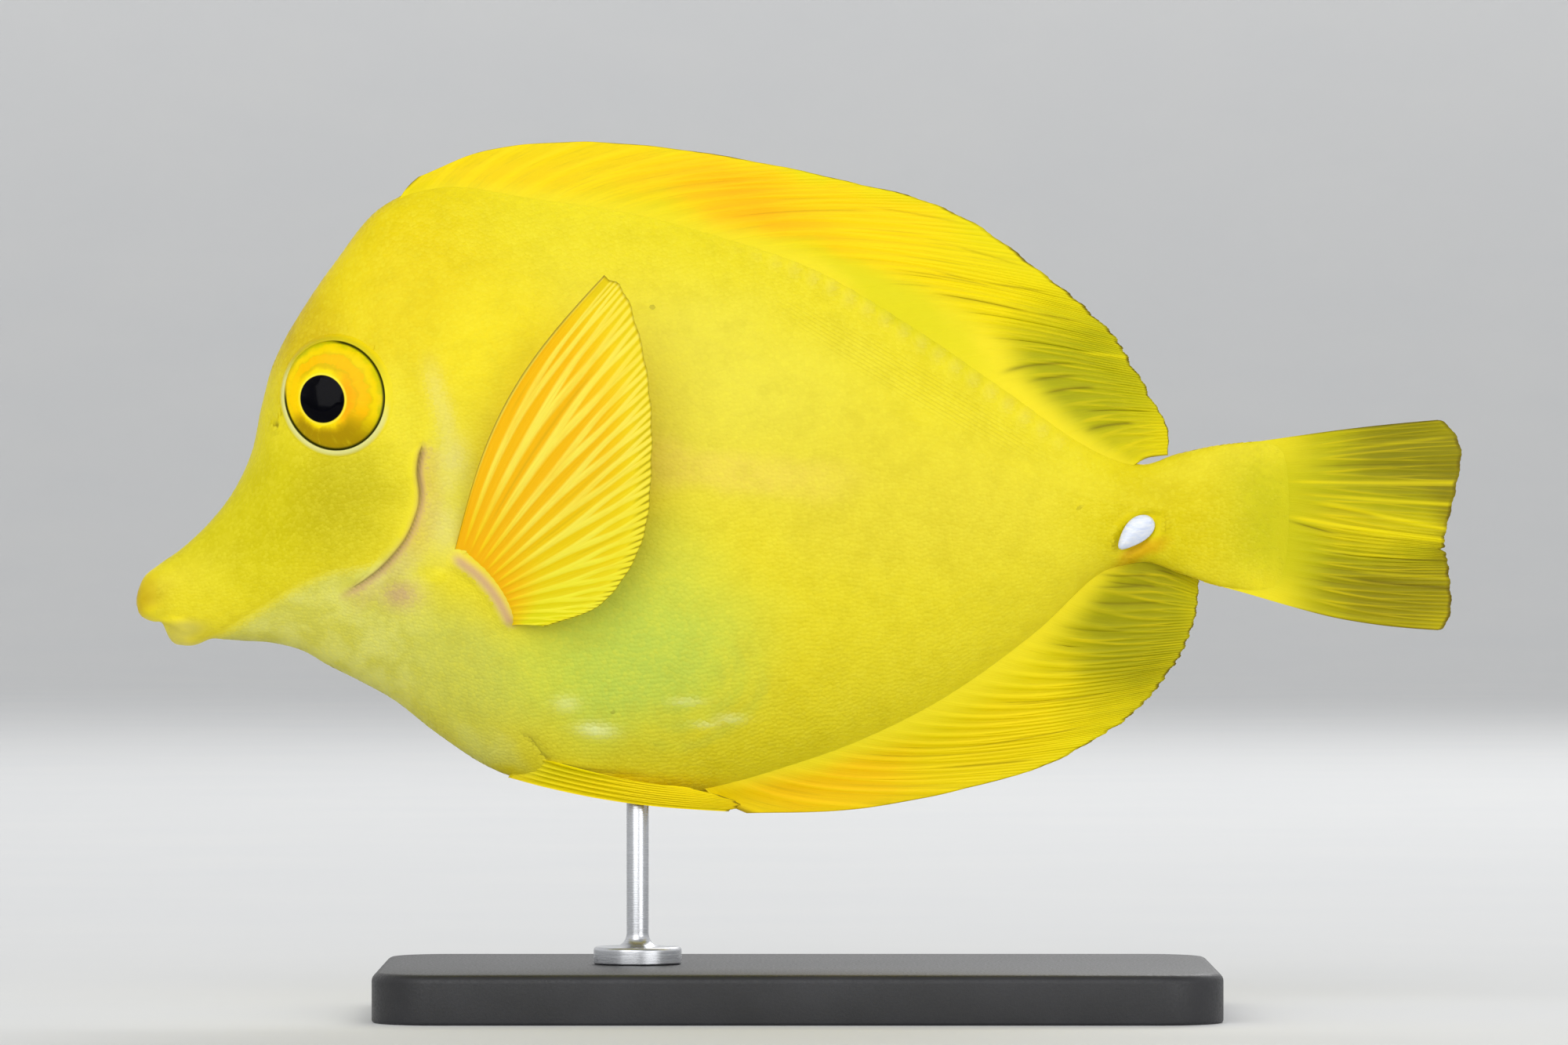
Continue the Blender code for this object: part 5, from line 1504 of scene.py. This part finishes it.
def pectoral_fin(side):
    share, s, place, roots, tips = fanned(PECTORAL_KEYS, PECTORAL_RAYS, 72)
    relief = ray_relief(place, s, 1, PECTORAL_FORKS, PECTORAL_WIDTHS)
    reach = fin_edge(place, share, relief, 0.006, ((0.03, 0.0), (0.12, 0.12)), ())
    x, z = fan_places(roots, tips, s, reach, 0.7, (PECTORAL_BOW * (1 - share) ** 4))
    ground = np.array([[on_trunk(*root, side)[0].y] for root in roots])
    lift = (PECTORAL_LIFT[0] + (PECTORAL_LIFT[1] - PECTORAL_LIFT[0]) * share) * s
    stand_off = lift + PECTORAL_ROOT_STEP * (1 - 3 * (1 - s) ** 12)
    pleat = (0.5 - relief) * 0.02 * MM * ease(s / 0.15)
    y = ground + side * (stand_off - pleat)
    stiff = np.round(place) < 1
    crest = np.where(stiff, 0.28 * MM - 0.18 * MM * s, 0.18 * MM - 0.12 * MM * s)
    web = 0.11 * MM - 0.07 * MM * s
    halves = web + (crest - web) * relief + 0.35 * MM * bell(s, 0.09)
    fold = drawn_marks(place, s, loose_marks(PECTORAL_RAYS, lambda at: 0.2))
    notes = {"ridge": relief, "reach": s, "ray": place, "fold": fold}
    centres = np.stack([x, y, z], axis=-1)
    return fin_sheet(sided("pectoral_fin_skin", side), centres, halves, notes)


def pectoral_material():
    material, wiring = new_material("pectoral_fin")
    ridge, reach, ray, fold = (wiring.attribute(n) for n in ("ridge", "reach", "ray", "fold"))
    across = wiring.math("DIVIDE", ray, PECTORAL_RAYS - 1.0)
    patchy = along_fin(wiring, ray, reach, 1.2, 2.7, 0.0, 4.0, 0.6)
    hairs = along_fin(wiring, ray, reach, 11.0, 2.0, 5.0, 3.0, 0.6)
    web = wiring.mix(wiring.ramp(across, 0.25, 0.6), srgb(248, 184, 0), srgb(238, 204, 0))
    web = wiring.mix(wiring.ramp(across, 0.55, 1.0, 0.0, 0.9), web, srgb(212, 212, 0))
    orange = wiring.times(wiring.ramp(reach, 0.36, 0.04), wiring.ramp(across, 1.0, 0.6, 0.5, 1.0))
    web = wiring.mix(orange, web, srgb(248, 182, 0))
    web = wiring.mix(wiring.ramp(reach, 0.7, 1.0, 0.0, 0.7), web, srgb(238, 220, 20))
    pale = wiring.mix(wiring.ramp(across, 0.35, 0.8), srgb(248, 226, 80), srgb(236, 226, 44))
    pale = wiring.mix(wiring.ramp(reach, 0.4, 0.08), pale, srgb(248, 206, 10))
    streak = wiring.times(wiring.ramp(ridge, 0.2, 0.8), wiring.ramp(patchy, 0.3, 0.6, 0.6, 1.0))
    colour = wiring.mix(streak, web, pale)
    colour = wiring.mix(wiring.ramp(hairs, 0.5, 0.8, 0.0, 0.2), colour, srgb(255, 236, 60))
    colour = wiring.mix(wiring.ramp(hairs, 0.5, 0.25, 0.0, 0.2), colour, srgb(232, 170, 0))
    # Painted shade in the folds between the rays
    colour = wiring.mix(fold, colour, srgb(130, 108, 0))
    frayed = wiring.times(wiring.ramp(reach, 0.88, 0.97, 0.0, 0.8), wiring.ramp(ridge, 0.5, 0.05))
    frayed = wiring.times(frayed, wiring.ramp(across, 0.2, 0.6, 0.2, 1.0))
    colour = wiring.mix(frayed, colour, srgb(120, 110, 0))
    colour = wiring.mix(wiring.ramp(ray, 0.12, 0.02, 0.0, 0.6), colour, srgb(124, 94, 4))
    colour = wiring.mix(wiring.ramp(reach, 0.988, 1.0, 0.0, 0.5), colour, srgb(130, 116, 10))
    wiring.finish(
        Base_Color=colour,
        Roughness=wiring.ramp(hairs, 0.3, 0.7, 0.38, 0.5),
        Normal=wiring.bump(hairs, 0.02 * MM),
        flesh=(0.25, (1.0, 0.8, 0.15), 0.8 * MM),
        Specular_IOR_Level=0.15,
    )
    return material


pectoral_skin = pectoral_material()
for side in (-1, 1):
    fin = pectoral_fin(side)
    fin.data.materials.append(pectoral_skin)
    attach(fin, "root")
    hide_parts("pectoral_fin_left" if side < 0 else "pectoral_fin_right")


# Pelvic fins. Two narrow fins, each a spine and five soft rays, are folded back flat along the belly's
# keel. They are a warmer yellow than the belly.
PELVIC_KEYS = np.array([(-26.2, 21.5, -5.5, 18.4), (-25.4, 22.5, -5.2, 19.2), (-24.6, 23.6, -8.3, 20.4)]) * MM
PELVIC_RAYS = 6
PELVIC_BOW = -0.03
PELVIC_ROOT_Y = (1.9 * MM, 3.4 * MM)
PELVIC_TIP_Y = (1.8 * MM, 2.4 * MM)


def pelvic_fin(side):
    share, s, place, roots, tips = fanned(PELVIC_KEYS, PELVIC_RAYS, 60)
    relief = 0.5 * ray_relief(place, s, 1, FIN_FORKS, RAY_WIDTHS)
    reach = fin_edge(place, share, relief, 0.01, ((0.5, 0.04), (0.4, 0.1)), ())
    x, z = fan_places(roots, tips, s, reach, 0.7, PELVIC_BOW)
    root_y = (PELVIC_ROOT_Y[0] + (PELVIC_ROOT_Y[1] - PELVIC_ROOT_Y[0]) * share)
    tip_y = (PELVIC_TIP_Y[0] + (PELVIC_TIP_Y[1] - PELVIC_TIP_Y[0]) * share)
    sunk = 1.6 * MM * (1 - s) ** 6
    y = side * (root_y * (1 - s) + tip_y * s - sunk)
    web = 0.14 * MM - 0.07 * MM * s
    crest = 0.34 * MM - 0.2 * MM * s
    halves = web + (crest - web) * relief
    fold = drawn_marks(place, s, loose_marks(PELVIC_RAYS, lambda at: 0.25))
    notes = {"ridge": relief, "reach": s, "ray": place, "fold": fold}
    notes.update(shown=ease((s - 0.02) / 0.15), rim=0.0 * relief, gleam=0.0 * relief)
    centres = np.stack([x, y, z], axis=-1)
    return fin_sheet(sided("pelvic_fin_skin", side), centres, halves, notes)


for side in (-1, 1):
    fin = pelvic_fin(side)
    fin.data.materials.append(ribbed)
    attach(fin, "root")
    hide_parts("pelvic_fin_left" if side < 0 else "pelvic_fin_right")


# Stand base. A flat steel plate with rounded corners and softened edges, sprayed fine matt black. It is a
# block with its upright edges rounded first and its rims after.
BASE_SIZE = (76 * MM, 44 * MM, 4.5 * MM)
BASE_CORNER = 6 * MM
BASE_EDGE = 0.8 * MM
BASE_FOOT_EDGE = 0.3 * MM


def base_plate():
    length, width, height = BASE_SIZE
    corner = np.linspace(0, math.pi / 2, 17)
    outline = []
    for quarter in range(4):
        turn = quarter * math.pi / 2
        middle_x = (length / 2 - BASE_CORNER) * (1 if quarter in (0, 3) else -1)
        middle_y = (width / 2 - BASE_CORNER) * (1 if quarter < 2 else -1)
        outline += [(middle_x, middle_y, math.cos(a + turn), math.sin(a + turn)) for a in corner]
    edge = np.linspace(0, math.pi / 2, 7)
    levels = [(0.0, BASE_FOOT_EDGE)]
    levels += [(BASE_FOOT_EDGE * (1 - math.cos(a)), BASE_FOOT_EDGE * (1 - math.sin(a))) for a in edge]
    levels += [(height - BASE_EDGE + BASE_EDGE * math.sin(a), BASE_EDGE * (1 - math.cos(a))) for a in edge]
    rings = []
    for z, inset in levels:
        radius = BASE_CORNER - inset
        rings.append([(x + radius * u, y + radius * v, z) for x, y, u, v in outline])
    return mesh_object("stand_plate", rings, capped_faces(len(rings), len(outline)))


def paint_material():
    material, wiring = new_material("stand_paint")
    place = wiring.place()
    speckle = wiring.noise(place, 0.25 * MM, 3.0, 0.7)
    haze = wiring.noise(place, 14 * MM, 3.0)
    colour = wiring.mix(wiring.ramp(haze, 0.3, 0.7), srgb(30, 30, 32), srgb(42, 42, 45))
    wiring.finish(
        Base_Color=colour,
        Roughness=wiring.ramp(speckle, 0.3, 0.7, 0.38, 0.55),
        Normal=wiring.bump(speckle, 0.02 * MM),
        Specular_IOR_Level=0.45,
    )
    return material


plate = base_plate()
plate.data.materials.append(paint_material())
plate.data.set_sharp_from_angle(angle=math.radians(50))
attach(plate, "root")
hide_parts("stand_base")


# Stand rod. A slim steel rod turned in one piece with its round foot, brushed round its axis. It stands on
# the plate and ends in a socket in the belly. Its profile is spun round.
ROD_X = -14.5 * MM
ROD_RADIUS = 1.0 * MM
ROD_TOP = 27 * MM
ROD_FOOT_RADIUS = 4.0 * MM
ROD_FOOT_HEIGHT = 1.6 * MM
ROD_FILLET = 1.2 * MM
ROD_RIM = 0.35 * MM
ROD_FOOT_EDGE = 0.15 * MM
SPUN_SPOKES = 96


def spun(profile, middle_x=0.0):
    """Rings of points where a profile of radii and heights is spun round an upright axis."""
    spokes = np.linspace(0, 2 * math.pi, SPUN_SPOKES, endpoint=False)
    return [[(middle_x + r * math.cos(a), r * math.sin(a), z) for a in spokes] for r, z in profile]


def rod():
    """Rings from the rod's rounded top over its fillet and the rim of its foot down to the plate."""
    foot = BASE_SIZE[2]
    shoulder = foot + ROD_FOOT_HEIGHT
    turn = [(math.cos(a), math.sin(a)) for a in np.linspace(0, math.pi / 2, 9)]
    profile = [(ROD_RADIUS * 0.6, ROD_TOP), (ROD_RADIUS * 0.9, ROD_TOP - 0.1 * MM)]
    profile.append((ROD_RADIUS, ROD_TOP - 0.3 * MM))
    profile += [(ROD_RADIUS + ROD_FILLET * (1 - cos), shoulder + ROD_FILLET * (1 - sin)) for cos, sin in turn]
    profile += [(ROD_FOOT_RADIUS - ROD_RIM * (1 - sin), shoulder - ROD_RIM * (1 - cos)) for cos, sin in turn]
    profile += [(ROD_FOOT_RADIUS, foot + ROD_FOOT_EDGE), (ROD_FOOT_RADIUS - ROD_FOOT_EDGE, foot)]
    return mesh_object("stand_pin", spun(profile, ROD_X), capped_faces(len(profile), SPUN_SPOKES))


def steel_material():
    material, wiring = new_material("stand_steel")
    place = wiring.place()
    inputs = {"Vector": place, "Location": (ROD_X, 0, 0)}
    centred = wiring.add("ShaderNodeMapping", inputs, vector_type="TEXTURE")
    stretched = wiring.add("ShaderNodeMapping", {"Vector": centred, "Scale": (0.15, 0.15, 6.0)})
    brushing = wiring.noise(stretched, 0.6 * MM, 4.0, 0.7)
    colour = wiring.mix(brushing, srgb(176, 178, 182), srgb(212, 213, 216))
    wiring.finish(
        Base_Color=colour,
        Metallic=1.0,
        Roughness=wiring.ramp(brushing, 0.3, 0.7, 0.2, 0.34),
        Normal=wiring.bump(brushing, 0.01 * MM),
    )
    return material


pin = rod()
pin.data.materials.append(steel_material())
pin.data.set_sharp_from_angle(angle=math.radians(40))
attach(pin, "root")
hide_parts("stand_rod")


# Room. A pale floor that curves up into a wall all round, three soft lamps and a faint even light, seen by
# a long lens level with the fish from its left side.
PHOTO_WIDTH = 142.4 * MM  # how wide the picture is at the fish
PHOTO_MIDDLE = (-1.21 * MM, 44.6 * MM)
CAMERA_DISTANCE = 0.9
SENSOR_WIDTH = 36  # of the camera, in millimetres
FISH_MIDDLE = (0, 0, 45 * MM)
LAMPS = (  # name, place, size and power
    ("key_lamp", (-0.45, -1.25, 0.75), 1.3, 10.4),
    ("fill_lamp", (0.8, -1.1, 0.12), 0.9, 5.2),
    ("back_lamp", (0.3, 0.9, 0.8), 0.6, 4.5),
)
ROOM_LIGHT = ((0.95, 0.97, 1.0, 1), 0.41)  # colour and strength
FLOOR_RADIUS = 1.9
FLOOR_CURVE = 1.0


def floor_bowl():
    bend = np.linspace(0, math.pi / 2, 24)
    profile = [(0.02, 0.0), (0.3, 0.0), (1.0, 0.0)]
    profile += [(FLOOR_RADIUS + FLOOR_CURVE * math.sin(a), FLOOR_CURVE * (1 - math.cos(a))) for a in bend]
    profile.append((FLOOR_RADIUS + FLOOR_CURVE, 3.2))
    faces = quads_between_rings(len(profile), SPUN_SPOKES, closed=True).tolist()
    return mesh_object("floor", spun(profile), [*faces, tuple(range(SPUN_SPOKES))])


def floor_material():
    material, wiring = new_material("floor")
    mottle = wiring.noise(wiring.place(), 0.05, 3.0)
    colour = wiring.mix(mottle, srgb(212, 213, 214), srgb(218, 218, 217))
    height = wiring.split(wiring.place())[2]
    wiring.finish(
        Base_Color=colour,
        Roughness=0.75,
        Specular_IOR_Level=0.2,
        Emission_Color=(1, 1, 1, 1),
        Emission_Strength=wiring.ramp(height, 0.0, 0.7, 0.04, 0.36),
    )
    material.cycles.emission_sampling = "NONE"
    return material


def lamp(name, place, size, power):
    """A square lamp that shines at the fish."""
    light = bpy.data.lights.new(name, "AREA")
    light.size = size
    light.energy = power
    holder = bpy.data.objects.new(name, light)
    holder.location = place
    aim = Vector(FISH_MIDDLE) - Vector(place)
    holder.rotation_euler = aim.to_track_quat("-Z", "Y").to_euler()
    bpy.context.scene.collection.objects.link(holder)


floor = floor_bowl()
floor.data.materials.append(floor_material())
for lamp_values in LAMPS:
    lamp(*lamp_values)
world = bpy.data.worlds.new("room_light")
world.use_nodes = True
background = world.node_tree.nodes["Background"].inputs
background["Color"].default_value, background["Strength"].default_value = ROOM_LIGHT
bpy.context.scene.world = world
bpy.context.scene.view_settings.view_transform = "Standard"

lens = bpy.data.cameras.new("camera")
lens.sensor_width = SENSOR_WIDTH
lens.lens = SENSOR_WIDTH * CAMERA_DISTANCE / PHOTO_WIDTH
lens.clip_start, lens.clip_end = 0.05, 20
camera = bpy.data.objects.new("camera", lens)
camera.location = (PHOTO_MIDDLE[0], -CAMERA_DISTANCE, PHOTO_MIDDLE[1])
camera.rotation_euler = (math.pi / 2, 0, 0)
bpy.context.scene.collection.objects.link(camera)
bpy.context.scene.camera = camera
